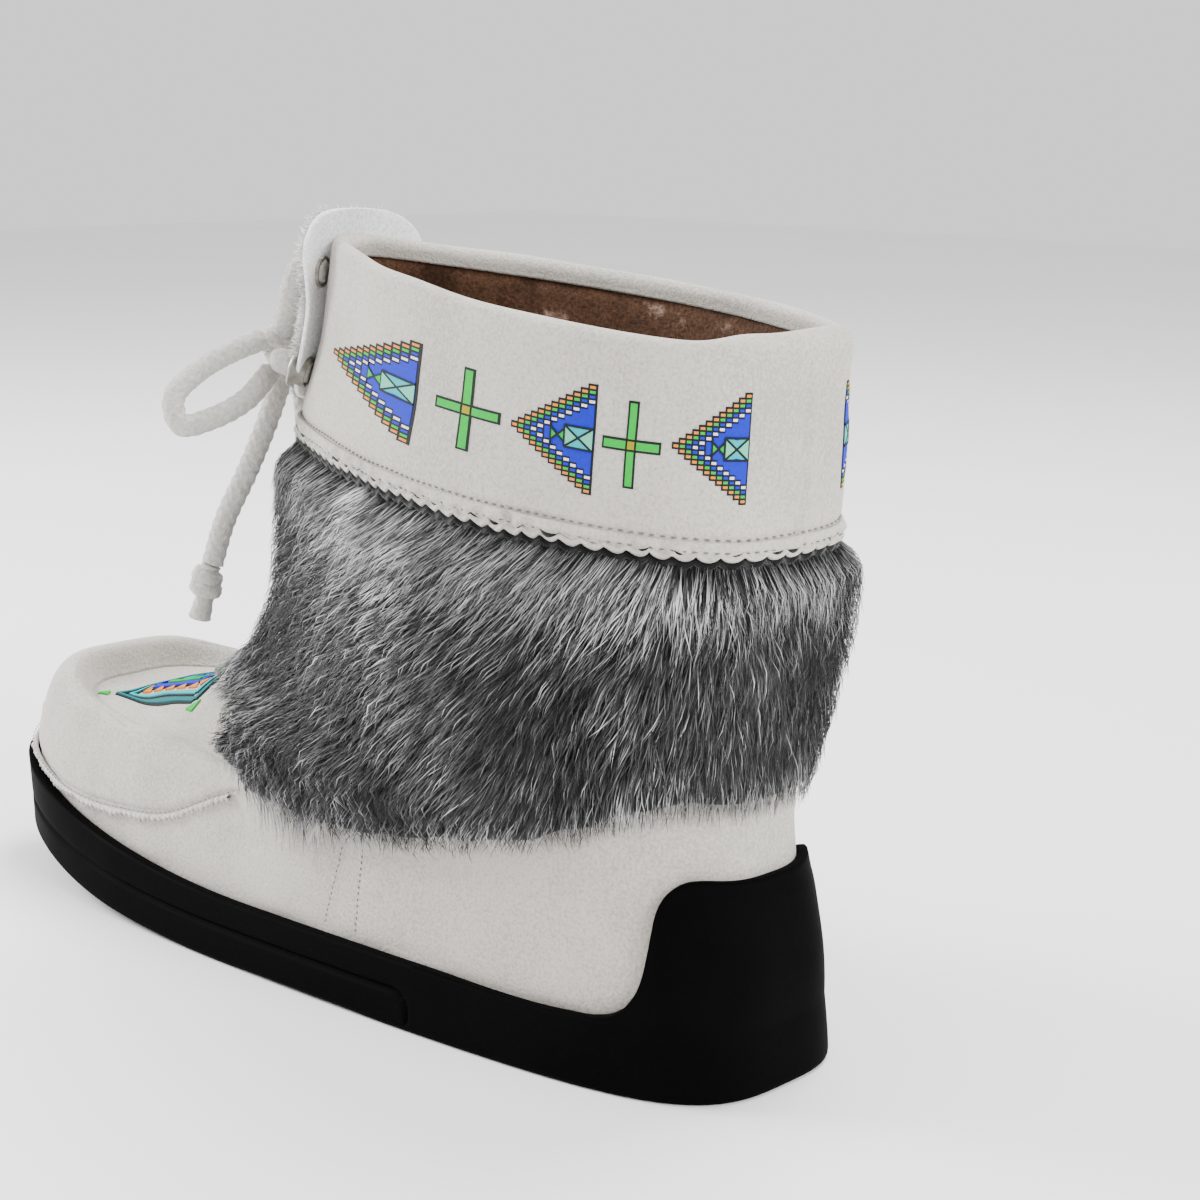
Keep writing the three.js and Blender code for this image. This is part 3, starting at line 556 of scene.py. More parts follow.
@dataclass
class Studio:
    """Camera of the photograph, a pale floor and soft light."""

    turn: float = 46.4  # degrees between the boot's long axis and the view, from behind
    tilt: float = 12.2
    roll: float = 0.7
    distance: float = 553.3
    lens: float = 69.0
    target: tuple[float, float, float] = (57.3, -2.3, 104.2)

    def camera(self) -> None:
        """Camera behind the boot on its outer side, at the photograph's angle."""
        t, e, r = (math.radians(v) for v in (self.turn, self.tilt, self.roll))
        back = Vector((-math.cos(t) * math.cos(e), math.sin(t) * math.cos(e), math.sin(e)))
        right = (-back).cross(Vector((0, 0, 1))).normalized()
        up = right.cross(-back)
        across = right * math.cos(r) + up * math.sin(r)
        upward = up * math.cos(r) - right * math.sin(r)
        place = (Vector(self.target) - Vector(SHIFT.tolist()) + back * self.distance) / 1000
        data = bpy.data.cameras.new("camera")
        data.lens, data.sensor_width = self.lens, 36.0
        data.clip_start, data.clip_end = 0.01, 50
        camera = bpy.data.objects.new("camera", data)
        bpy.context.scene.collection.objects.link(camera)
        camera.matrix_world = Matrix.Translation(place) @ Matrix((across, upward, back)).transposed().to_4x4()
        bpy.context.scene.camera = camera

    def lamp(self, name: str, place: tuple[float, float, float], size: float, watts: float) -> None:
        """Soft square lamp that looks at the boot."""
        data = bpy.data.lights.new(name, "AREA")
        data.shape, data.size, data.energy = "SQUARE", size, watts
        lamp = bpy.data.objects.new(name, data)
        lamp.location = place
        lamp.rotation_euler = (Vector((0, 0, 0.08)) - Vector(place)).to_track_quat("-Z", "Y").to_euler()
        bpy.context.scene.collection.objects.link(lamp)

    def light(self) -> None:
        """White surroundings, a lamp above, one before the toe and a weak one behind the heel."""
        world = bpy.data.worlds.new("studio")
        world.use_nodes = True
        world.node_tree.nodes["Background"].inputs["Color"].default_value = (1, 1, 1, 1)
        world.node_tree.nodes["Background"].inputs["Strength"].default_value = 1.15
        bpy.context.scene.world = world
        self.lamp("lamp_over", (0.0, -0.5, 1.3), 0.6, 22)
        self.lamp("lamp_front", (1.1, 0.55, 0.8), 0.6, 32)
        self.lamp("lamp_back", (-1.2, 0.1, 0.7), 0.5, 17)

    def floor(self) -> None:
        """Pale floor under the boot."""
        half = 3.0
        mesh = bpy.data.meshes.new("floor")
        mesh.from_pydata([(-half, -half, 0), (half, -half, 0), (half, half, 0), (-half, half, 0)], [], [(0, 1, 2, 3)])
        n = Nodes("floor_paper")
        n.set(Base_Color=n.ramp(n.noise(300, 2), [(0.3, (0.92, 0.92, 0.92)), (0.7, (0.94, 0.94, 0.94))]),
              Roughness=0.8, Specular_IOR_Level=0.2)
        mesh.materials.append(n.material)
        floor = bpy.data.objects.new("floor", mesh)
        bpy.context.scene.collection.objects.link(floor)


# Tongue shape, needed by the eyelets and the lace


@dataclass(frozen=True)
class TongueShape:
    """Surface of the tongue: a rounded patch in front of the cuff and above the collar."""

    last: Last
    width: float = 43.0
    curve: float = 9.0
    wrap: float = 14.0
    waist: float = 0.7
    power: float = 3.2
    wall: float = 3.2
    low: float = CUFF_EDGE + 0.25
    high: float = COLLAR + 0.36
    eyelet_rings: tuple[float, float] = (10.72, 9.62)
    eyelet_spacing: float = 22.0

    def point(self, across: Array, ring: Array, depth: Array | float) -> Array:
        """Point of the tongue: across is -1 to 1 over its width, a power curve of the height; the
        edges fall back with the square of the distance from the middle."""
        across, ring = np.broadcast_arrays(np.asarray(across, float), np.asarray(ring, float))
        front = self.last.skin(np.full(ring.shape, math.pi), ring, 2 * GAP + CUFF_WALL)
        rise = np.abs(ring - (self.low + self.high) / 2) / ((self.high - self.low) / 2)
        half = (self.width / 2) * np.maximum(0, 1 - rise**self.power) ** (1 / self.power)
        opened = smooth((ring - (COLLAR - 0.8)) / 0.9)
        y = across * half * lerp(self.waist, 1, opened)
        fall = lerp(self.wrap, self.curve, opened) * (y / (self.width / 2)) ** 2
        return np.stack([front[..., 0] + depth - fall, y, front[..., 2]], -1)

    def normal(self, across: Array, ring: Array) -> Array:
        """Outward normal of the tongue's front."""
        a = self.point(across + 0.05, ring, 0) - self.point(across - 0.05, ring, 0)
        r = self.point(across, ring + 0.05, 0) - self.point(across, ring - 0.05, 0)
        return unit(np.cross(a, r))

    def eyelet(self, row: int, side: int) -> tuple[Array, Array]:
        """Middle and axis of an eyelet, on the tongue's front face."""
        ring = self.eyelet_rings[row]
        half = float(self.point(np.array(1.0), np.array(ring), 0)[1])
        across = np.array(side * self.eyelet_spacing / 2 / half)
        return self.point(across, np.array(ring), self.wall), self.normal(across, np.array(ring))


# Lace


def path_through(points: list[list[float]], spacing: float) -> Array:
    """Smooth line through points: centripetal Catmull-Rom, sampled at equal distances."""
    p = np.array(points, float)
    p = np.vstack([2 * p[0] - p[1], p, 2 * p[-1] - p[-2]])
    parts = []
    for a, b, c, d in zip(p, p[1:], p[2:], p[3:]):
        t = np.cumsum([0] + [max(np.linalg.norm(v) ** 0.5, 1e-6) for v in (b - a, c - b, d - c)])
        u = np.linspace(t[1], t[2], 24, endpoint=False)[:, None]
        ab = a + (b - a) * (u - t[0]) / (t[1] - t[0])
        bc = b + (c - b) * (u - t[1]) / (t[2] - t[1])
        cd = c + (d - c) * (u - t[2]) / (t[3] - t[2])
        abc = ab + (bc - ab) * (u - t[0]) / (t[2] - t[0])
        bcd = bc + (cd - bc) * (u - t[1]) / (t[3] - t[1])
        parts.append(abc + (bcd - abc) * (u - t[1]) / (t[2] - t[1]))
    line = np.vstack([*parts, p[-2:-1]])
    run = np.concatenate([[0], np.cumsum(np.linalg.norm(np.diff(line, axis=0), axis=1))])
    at = np.linspace(0, run[-1], max(4, int(run[-1] / spacing)))
    return np.stack([np.interp(at, run, line[:, k]) for k in range(3)], -1)


@dataclass
class Lace:
    """Round braided lace: bar, strands, knot, bow loops and knotted ends."""

    tongue: TongueShape
    braid: bpy.types.Material
    diameter: float = 5.6
    turn: float = 6.2
    knot: tuple[float, float, float] = (169.8, 1.5, 156.5)
    knot_radius: float = 8.0
    outer_loop: tuple = ((169, 11, 159), (171, 20, 156), (173, 29, 151.5), (173, 37, 145), (170, 37, 138.5),
                         (166, 30, 140), (164, 21, 144), (166.5, 10.5, 150.5))
    inner_loop: tuple = ((168, -8, 158.5), (167, -17, 155.5), (165, -26, 149.5), (161, -31, 142), (158, -29, 136),
                         (158, -22, 138.5), (161, -15, 144.5), (167, -8.2, 151))
    outer_end: tuple = ((169, 4, 149.5), (168.5, 10, 137.5), (172.4, 14, 124), (177.6, 18, 110.2), (180, 20.7, 98.3))
    inner_end: tuple = ((170, -2.5, 150.2), (170, -4, 136.5), (175.5, -8, 124), (179.5, -11, 112),
                        (182.1, -13.1, 100.4))
    outer_end_knot: tuple[float, float, float] = (181.2, 22, 92.7)
    inner_end_knot: tuple[float, float, float] = (183.2, -13.8, 94.6)

    def frames(self, line: Array) -> tuple[Array, Array]:
        """Two directions across the line that turn with it as little as they can."""
        way = unit(np.gradient(line, axis=0))
        side = [unit(np.cross(way[0], [0.31, 0.2, 0.9]))]
        for w in way[1:]:
            side.append(unit(side[-1] - w * float(side[-1] @ w)))
        first = np.array(side)
        return first, np.cross(way, first)

    def tube(self, line: Array, radius: Array | float, relief: float = 0.2, around: int = 30) -> tuple[Array, Array]:
        """Braided tube: strands wind both ways, and each crossing lifts one of them over the other.
        With n strands each way at angle t and length s, the height is the larger of
        |cos((nt + ks) / 2)| + c cos nt and |cos((nt - ks) / 2)| - c cos nt."""
        one, two = self.frames(line)
        t = np.linspace(0, 2 * math.pi, around, endpoint=False)[None, :]
        run = np.concatenate([[0], np.cumsum(np.linalg.norm(np.diff(line, axis=0), axis=1))])[:, None]
        strands, pitch = 5, 3.2
        k = 2 * math.pi / pitch
        a = np.abs(np.cos((strands * t + k * run) / 2)) + 0.3 * np.cos(strands * t)
        b = np.abs(np.cos((strands * t - k * run) / 2)) - 0.3 * np.cos(strands * t)
        high = np.maximum(a, b) - 0.85
        r = np.broadcast_to(np.asarray(radius, float).reshape(-1, 1), (len(line), 1)) * (1 + relief * high)
        ring = line[:, None] + r[..., None] * (np.cos(t)[..., None] * one[:, None] + np.sin(t)[..., None] * two[:, None])
        ends = [np.repeat(line[i][None], around, 0)[None] for i in (0, -1)]
        points = np.concatenate([ends[0], ring, ends[1]])
        return points.reshape(-1, 3), rings_of(len(points), around, False)

    def joined(self, shapes: list[tuple[Array, Array]]) -> tuple[Array, Array]:
        """Several shapes as one point list and one face list."""
        starts = np.cumsum([0] + [len(p) for p, _ in shapes[:-1]])
        return np.vstack([p for p, _ in shapes]), np.vstack([f + s for (_, f), s in zip(shapes, starts)])

    def beside(self, row: int, side: int, distance: float, shift: tuple[float, float, float] = (0, 0, 0)) -> list[float]:
        """A place on an eyelet's axis, and a shift in the room."""
        at, out = self.tongue.eyelet(row, side)
        return list(at + out * distance + np.array(shift))

    def through(self, row: int, side: int) -> list[list[float]]:
        """Straight stretch through an eyelet."""
        wall = self.tongue.wall
        return [self.beside(row, side, d) for d in (-wall - GAP, -wall / 2, self.turn / 2)]

    def make_bar(self) -> None:
        """Bar across the tongue, in at both lower eyelets."""
        middle = self.tongue.point(np.array(0.0), np.array(self.tongue.eyelet_rings[1]),
                                   self.tongue.wall + self.diameter / 2 + 2 * GAP)
        arms = [[*self.through(1, side), self.beside(1, side, self.turn, (0, -side * 1.5, 0))] for side in (1, -1)]
        line = path_through([*arms[0], list(middle), *arms[1][::-1]], 0.55)
        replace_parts(make_piece("lace_bar_braid", *self.tube(line, self.diameter / 2), self.braid, "braid"), "lace_bar")

    def make_knot(self) -> bpy.types.Object:
        """Knot: three turns of the lace laid over each other round its middle, with both strands."""
        c, shapes = np.array(self.knot), []
        for side in (1, -1):
            bend = self.beside(0, side, self.turn, (0, -side, -5))
            line = path_through([*self.through(0, side), bend, list(c + [-2, side * 3.5, 4])], 0.55)
            shapes.append(self.tube(line, self.diameter / 2))
        t = np.linspace(0, 2 * math.pi, 60)
        turns = [
            np.stack([2.2 + 2.6 * np.cos(t), -2.4 + 1.6 * np.sin(t), 3.7 * np.sin(t)], -1),
            np.stack([-0.6 + 2.8 * np.cos(t), 4.9 * np.sin(t), 1.2 + 2.2 * np.sin(t + 0.6)], -1),
            np.stack([0.4 + 3.2 * np.cos(t), 2.8 + 1.4 * np.sin(t), -0.6 + 3.9 * np.sin(t)], -1),
        ]
        for turn in turns:
            shapes.append(self.tube(c + turn, 2.55))
        knot = make_piece("lace_knot_braid", *self.joined(shapes), self.braid, "braid")
        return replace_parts(knot, "lace_knot")

    def make_end_knot(self, name: str, centre: tuple, node: str) -> bpy.types.Object:
        """Overhand knot at an end: a wrapped bead with the cut tail under it."""
        c = np.array(centre)
        t = np.linspace(0, 4 * math.pi, 90)
        wide = 1.0 + 1.3 * np.sin(np.linspace(0.2, math.pi - 0.2, 90))
        wrap = np.stack([wide * np.cos(t), wide * np.sin(t), np.linspace(3.2, -3.0, 90)], -1)
        tail = path_through([list(c + v) for v in ([-1.0, -1.1, 5.3], [0, 0, 2], [0.4, 0.3, -3], [1.8, 1.2, -9.5])], 0.5)
        thick = np.interp(np.linspace(0, 1, len(tail)), [0, 0.5, 1], [2.6, 2.2, 3.0])
        shapes = [self.tube(c + wrap, 2.3), self.tube(tail, thick, 0.14)]
        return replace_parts(make_piece(name, *self.joined(shapes), self.braid, "braid"), node)

    def make(self) -> None:
        """All the lace, with its loops and ends."""
        self.make_bar()
        knot = self.make_knot()
        knots = {
            "outer": self.make_end_knot("lace_tip_outer", self.outer_end_knot, "lace_end_knot_outer"),
            "inner": self.make_end_knot("lace_tip_inner", self.inner_end_knot, "lace_end_knot_inner"),
        }
        for side, loop, end in (("outer", self.outer_loop, self.outer_end), ("inner", self.inner_loop, self.inner_end)):
            for kind, route in (("loop", loop), ("end", end)):
                line = path_through([list(p) for p in route], 0.55)
                piece = make_piece(f"lace_{kind}_{side}_braid", *self.tube(line, self.diameter / 2), self.braid, "braid")
                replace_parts(piece, f"lace_{kind}_{side}")


# Sole


@dataclass
class Sole:
    """Cup sole: lugged underside, side wall with its groove, heel cup and rounded lip."""

    last: Last
    rubber: bpy.types.Material
    wall: float = 3.2
    lip: float = 1.6
    flare: float = 6.5
    flare_front: float = 0.4
    swell: float = 0.16
    round: float = 1.6
    heel: float = 1.7
    spring: float = 15.0
    spring_back: float = 149.0
    arch: tuple[float, float, float, float] = (1.6, 84.0, 150.0, 22.0)
    tread_top: float = 9.0
    tread_back: float = 78.5
    tread_corner: float = 7.0
    groove: tuple[float, float] = (0.95, 1.1)
    lug: tuple[float, float, float, float] = (2.6, 5.0, 14.0, 60.0)
    fine: tuple[tuple[float, float, float], ...] = ((8.0, 32.0, 0.45), (72.5, 88.5, 0.5))
    edge: tuple[tuple[float, float], ...] = (
        (0, 4.16), (0.010, 4.22), (0.020, 4.26), (0.031, 4.2), (0.040, 4.0), (0.047, 3.68), (0.052, 3.2),
        (0.057, 2.5), (0.062, 1.92), (0.070, 1.52), (0.082, 1.25), (0.10, 1.08), (0.13, 1.0), (0.3, 1), (1, 1),
    )

    def spring_at(self, x: Array) -> Array:
        """Rise of the toe: a square of the way past spring_back."""
        reach = self.last.length + self.wall + self.lip - self.spring_back
        return self.spring * np.clip((x - self.spring_back) / reach, 0, 1) ** 2

    def underside(self, x: Array) -> Array:
        """Height of the underside: toe spring and arch."""
        rise, back, front, ramp = self.arch
        return self.spring_at(x) + rise * smooth((x - back) / ramp) * smooth((front - x) / ramp)

    def groove_depth(self, points: Array) -> Array:
        """Depth of the groove that marks off the forefoot tread, by the distance from its line."""
        x = np.linspace(self.tread_back + self.tread_corner, self.last.length + 12, 700)
        top = np.stack([x, self.tread_top + self.spring_at(x)], -1)
        t = np.linspace(0, 1, 40)[:, None]
        a, b, c = (np.array(v) for v in ((self.tread_back, self.tread_top - self.tread_corner),
                                         (self.tread_back, self.tread_top),
                                         (self.tread_back + self.tread_corner, self.tread_top)))
        corner = (1 - t) ** 2 * a + 2 * t * (1 - t) * b + t * t * c
        down = np.stack([np.full(16, self.tread_back), np.linspace(-1, a[1], 16)], -1)
        line = np.vstack([down, corner, top])
        flat = points[..., [0, 2]].reshape(-1, 2)
        near = np.full(len(flat), 1e9)
        for start in range(0, len(line), 24):
            gap = flat[:, None] - line[None, start:start + 24]
            near = np.minimum(near, np.sqrt((gap**2).sum(-1)).min(1))
        width, depth = self.groove
        return (depth * np.exp(-((near / (width / 1.6)) ** 2))).reshape(points.shape[:-1])

    def lugs(self, points: Array) -> Array:
        """Rise of the underside in the grooves across the tread."""
        depth, width, pitch, reach = self.lug
        x, y = points[..., 0], points[..., 1]
        lines = [*np.arange(pitch, self.tread_back - pitch + 1, pitch),
                 *np.arange(self.tread_back + 3 * pitch, self.last.length - 2 * pitch + 1, pitch)]
        cut = sum(smooth((width / 2 + 0.5 - np.abs(x - c)) / 1.0) for c in lines)
        return depth * cut * smooth((reach / 2 + 0.5 - np.abs(y)) / 1.0)

    def angles(self) -> Array:
        """Angles of the sole's columns: even, and closer where the side groove turns down."""
        outer = self.last.spread(170, 1.0, half=True)
        for low, high, spacing in self.fine:
            x = self.last.point(outer, 1.0)[:, 0]
            close = np.interp(np.arange(low, high, spacing), x, outer)
            outer = np.sort(np.concatenate([outer[(x < low) | (x > high)], close]))
        return np.concatenate([outer, (2 * math.pi - outer[1:-1])[::-1]])

    def make(self) -> None:
        """The sole as one closed surface: underside, side, lip, inside and footbed."""
        a = self.angles()
        columns = len(a)
        s = along(a)
        out = unit(self.last.normal(a, np.ones_like(a)) * [1, 1, 0])
        feather = self.last.point(a, 1.0)
        flare = self.flare * (1 + self.swell * bump_at(s, 0.42, 0.5)) * lerp(1, self.flare_front, smooth((s - 0.72) / 0.25))

        def foot(extra: Array, rise: float) -> Array:
            """Outline at a distance from the feather line, at a rise over the underside."""
            p = feather + out * np.asarray(extra)[..., None]
            p[:, 2] = lerp(self.spring_at(p[:, 0]), self.underside(p[:, 0]), 0.2) + rise
            return p

        base = foot(flare - self.round, 0)
        mirror = (-np.arange(columns)) % columns
        middle = (base + base[mirror]) / 2
        rows = []
        for t in np.linspace(1, 0, 14):
            p = lerp(base, middle, t)
            p[:, 2] = lerp(self.spring_at(p[:, 0]), self.underside(p[:, 0]), 0.2 + 0.8 * smooth(t * 2.5))
            p[:, 2] += self.lugs(p) * (t > 0)
            rows.append(p)
        for t in np.linspace(0, math.pi / 2, 6)[1:]:
            rows.append(foot(flare - self.round * (1 - math.sin(t)), self.round * (1 - math.cos(t))))
        low = foot(flare, self.round)
        edge = curve_at(np.array(self.edge), s)
        heel = self.heel * (1 - smooth(s / 0.14))

        def side(share: float) -> Array:
            """Side of the cup from the feather line up to its edge."""
            thick = lerp(self.wall, self.lip + 1, share * smooth((edge - 1) / 2)) + 0.4
            thick = thick + heel * (1 - share) ** 1.5
            return self.last.point(a, lerp(1, edge, share)) + out * thick[:, None]

        top = side(0.0)
        line = self.tread_top + self.spring_at(low[:, 0])
        mark = np.clip((line - low[:, 2]) / (top[:, 2] - low[:, 2]), 0.2, 0.8)
        reach = 1.1 / (top[:, 2] - low[:, 2])
        spots = [lerp(0, mark - reach, t) for t in np.linspace(0, 1, 7)[1:]]
        spots += [mark + reach * t for t in np.linspace(-1, 1, 11)[1:-1]]
        spots += [lerp(mark + reach, 1, t) for t in np.linspace(0, 1, 8)]
        for t in spots:
            p = lerp(low, top, t[:, None])
            p[:, :2] = (low + (top - low) * (t[:, None] ** 1.3))[:, :2]
            rows.append(p - out * self.groove_depth(p)[:, None])
        for t in np.linspace(0, 1, 22)[1:]:
            rows.append(side(t * 0.95))
        rim = side(1.0)
        inner = self.last.point(a, edge) + out * GAP
        radius = np.linalg.norm(rim - inner, axis=1)[:, None] / 2
        up = unit(self.last.point(a, edge + 0.05) - self.last.point(a, edge - 0.05))
        centre = (rim + inner) / 2 - up * radius * 0.6
        for t in np.linspace(0, math.pi, 9):
            flat = np.sign(math.cos(t)) * abs(math.cos(t)) ** 0.6
            rows.append(centre + out * radius * flat + up * radius * 0.6 * math.sin(t) ** 0.6)
        for share in (0.75, 0.5, 0.25, 0.0):
            rows.append(self.last.skin(a, lerp(0, edge, share), GAP))
        floor = self.last.skin(a, np.zeros_like(a), GAP) - [0, 0, GAP]
        rows.append(floor)
        for t in (0.4, 1.0):
            rows.append(lerp(floor, (floor + floor[mirror]) / 2, t))
        piece = make_piece("sole_unit", np.concatenate(rows), rings_of(len(rows), columns, False), self.rubber, "rubber")
        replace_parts(piece, "sole", "forefoot_tread")


# Upper, lining and insole


@dataclass
class Upper:
    """Suede foot and shaft: toe roll round the sunken plug, toe seam, side seam and soft creases."""

    last: Last
    suede: bpy.types.Material
    plush: bpy.types.Material
    felt: bpy.types.Material
    columns: int = 400
    lining_top: float = COLLAR - 0.05
    roll: float = 2.95
    crease: float = 3.36
    level: float = 4.4
    plug_back: float = 0.752
    # double seam on the outer side: x at z = 40, and how far x grows for each millimetre down
    side_seams: tuple[tuple[float, float], ...] = ((107.0, 0.318), (100.0, 0.136))
    # creases: share along, ring, half lengths along and across in the same shares, depth
    creases: tuple[tuple[float, float, float, float, float], ...] = (
        (0.30, 2.2, 0.05, 1.1, 0.5), (0.42, 1.9, 0.07, 0.6, 0.35), (0.16, 3.1, 0.03, 1.3, 0.45),
        (0.09, 5.2, 0.03, 0.7, 0.5), (0.56, 2.1, 0.05, 0.5, 0.4),
    )

    def relief(self, angle: Array, ring: Array) -> Array:
        """Height over the last: seam crease, puckers above it, plug fold, side seam and creases."""
        s = along(angle)
        seam = curve_at(np.array(self.last.toe_seam), s)
        place = self.last.point(angle, ring)
        toe = smooth((s - 0.5) / 0.1)
        high = -1.0 * bump_at(ring - seam, 0.09, 0.08) * toe
        run = np.cumsum(np.linalg.norm(np.diff(place, axis=1, append=place[:, :1]), axis=2), axis=1)
        high = high + 0.16 * np.cos(run * 2 * math.pi / 5.2) * toe * np.exp(-np.abs(ring - seam - 0.3) / 0.25)
        plug = smooth((s - self.plug_back - 0.02) / 0.03)
        tip = 0.25 * smooth((s - 0.88) / 0.12)
        high = high - 1.3 * bump_at(ring, self.crease + tip + 0.02, 0.07) * plug
        high = high + 1.3 * bump_at(ring, 2.7 + tip / 2, 0.8) * smooth((s - 0.62) / 0.1)
        high = high - 2.0 * bump_at(ring, 1.8, 1.3) * smooth((s - 0.84) / 0.16)
        near = smooth(np.sin(angle) * 4) * plug * smooth((0.95 - s) / 0.06)
        high = high - 0.9 * bump_at(ring, 2.98, 0.14) * near
        outer = np.sin(angle) > 0
        for start, slope in self.side_seams:
            x = start + slope * (40 - place[..., 2])
            high = high - 0.30 * np.exp(-(((place[..., 0] - x) / 0.7) ** 2)) * outer * (ring > 1) * (ring < 4)
        for at, level, wide, tall, depth in self.creases:
            lean = (s - at) / wide + 0.35 * (ring - level) / tall
            high = high - depth * np.exp(-lean**2 * 2) * np.exp(-(((ring - level) / tall) ** 2))
            high = high + 0.6 * depth * np.exp(-((lean - 1.1) ** 2) * 2) * np.exp(-(((ring - level) / tall) ** 2))
        return high + 0.28 * waves(place, 22, 3) + 0.10 * waves(place, 8, 4)

    def press(self, angle: Array, ring: Array) -> Array:
        """How far the plug lies below the last inside the toe roll: from the roll's top the face drops
        to the height that the last has well inside, and runs level to there."""
        s = along(angle)
        top = self.last.point(angle, np.full_like(ring, self.roll))[..., 2]
        deep = self.last.point(angle, np.full_like(ring, self.level))[..., 2] - 1.4
        here = self.last.point(angle, ring)[..., 2]
        tip = 0.25 * smooth((s - 0.88) / 0.12)
        drop = lerp(top, deep, smooth((ring - tip - self.roll) / (self.crease - self.roll)))
        inside = (ring > self.roll + tip) & (ring < self.level + 0.6)
        back = self.plug_back + 0.022 * (ring - self.crease)
        blend = smooth((s - back) / 0.04) * smooth((self.level + 0.6 - ring) / 0.6)
        return np.where(inside, np.maximum(0, here - drop) * blend, 0.0)

    def face(self, angle: Array, ring: Array, height: Array | float = 0.0) -> Array:
        """Outer face of the suede, or a face at a height over it."""
        lift = self.relief(angle, ring) * smooth((ring - 0.9) / 0.3) * smooth((6.6 - ring) / 0.6)
        points = self.last.skin(angle, ring, lift + height)
        points[..., 2] -= self.press(angle, ring)
        return points

    def make_shell(self) -> None:
        """The upper's wall: its outer face, the turned collar edge and the inner face."""
        rings = np.concatenate([np.linspace(0, 1, 4)[:-1], np.linspace(1, 3, 46)[:-1], np.linspace(3, 3.9, 34)[:-1],
                                np.linspace(3.9, 6.2, 32), np.linspace(6.2, COLLAR, 8)[1:]])
        a, r = np.meshgrid(self.last.spread(self.columns, 2.0), rings)
        outer = self.face(a, r)
        inner_rings = np.array([COLLAR, 8, 6, 5, 4.4, 4, 3.6, 3, 2, 1, 0])
        a, r = np.meshgrid(a[0], inner_rings)
        inner = self.last.skin(a, r, -1.2)
        inner[..., 2] -= self.press(a, r) + 1.0 * smooth((along(a) - 0.6) / 0.1) * ((r > 2.5) & (r < 5.5))
        rows = np.concatenate([outer, inner])
        piece = make_piece("upper_suede", rows.reshape(-1, 3), rings_of(len(rows), self.columns, True), self.suede,
                           "suede")
        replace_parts(piece, "upper")

    def make_lining(self) -> None:
        """Plush lining: a thin lumpy sheet inside the wall, crushed into soft ridges."""
        steps = np.concatenate([np.linspace(0, 0.5, 16)[:-1], np.linspace(0.5, 1, 64)])
        a, r = np.meshgrid(self.last.spread(300, 9.0), steps)
        low = lerp(0.1, 6.4, smooth((along(a[0]) - 0.45) / 0.15))
        r = lerp(low, self.lining_top, r)
        flat = self.last.skin(a, r, -1.5)
        lumps = 0.7 * waves(flat, 16, 11) + 0.35 * waves(flat, 6, 12) + 0.22 * waves(flat, 2.6, 13)
        tuck = 0.6 * smooth((r - self.lining_top + 0.18) / 0.12)
        raised = 0.55 * np.clip(lumps, -1.2, 1.2) * smooth((self.lining_top - 0.25 - r) / 0.7)
        face = self.last.skin(a, r, tuck - 2.7 - raised)
        a, r = np.meshgrid(a[0], np.linspace(1, 0, 14))
        back = self.last.skin(a, lerp(low, self.lining_top, r), -1.35)
        rows = np.concatenate([face, back])
        make_piece("lining", rows.reshape(-1, 3), rings_of(len(rows), 300, True), self.plush, "felt")

    def make_insole(self) -> None:
        """Footbed: a felt pad with a rounded edge and a shallow cup for the heel and ball."""
        a = np.linspace(0, 2 * math.pi, 180, endpoint=False)
        edge = self.last.skin(a, np.zeros_like(a), -WALL - GAP - 0.2)
        edge[:, 2] = self.last.point(a, 0.0)[:, 2]
        mirror = (-np.arange(180)) % 180
        spine = (edge + edge[mirror]) / 2
        rows = [lerp(edge, spine, 1.0), lerp(edge, spine, 0.3), edge + [0, 0, 0.2]]
        for t in np.linspace(0, math.pi / 2, 5):
            rows.append(lerp(edge, spine, 0.05 * (1 - math.cos(t))) + [0, 0, 2.6 + 1.3 * math.sin(t)])
        for t in np.linspace(0.08, 1, 16):
            p = lerp(edge, spine, t) + [0, 0, 3.9]
            dish = smooth(t * 1.6) * (0.9 * bump_at(p[:, 0], 35, 60) + 0.6 * bump_at(p[:, 0], 180, 70))
            p[:, 2] -= dish
            rows.append(p)
        piece = make_piece("insole_felt", np.concatenate(rows), rings_of(len(rows), 180, False), self.felt, "felt")
        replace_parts(piece, "insole")

    def make(self) -> None:
        """Shell, lining and insole."""
        self.make_shell()
        self.make_lining()
        self.make_insole()


# Stitches


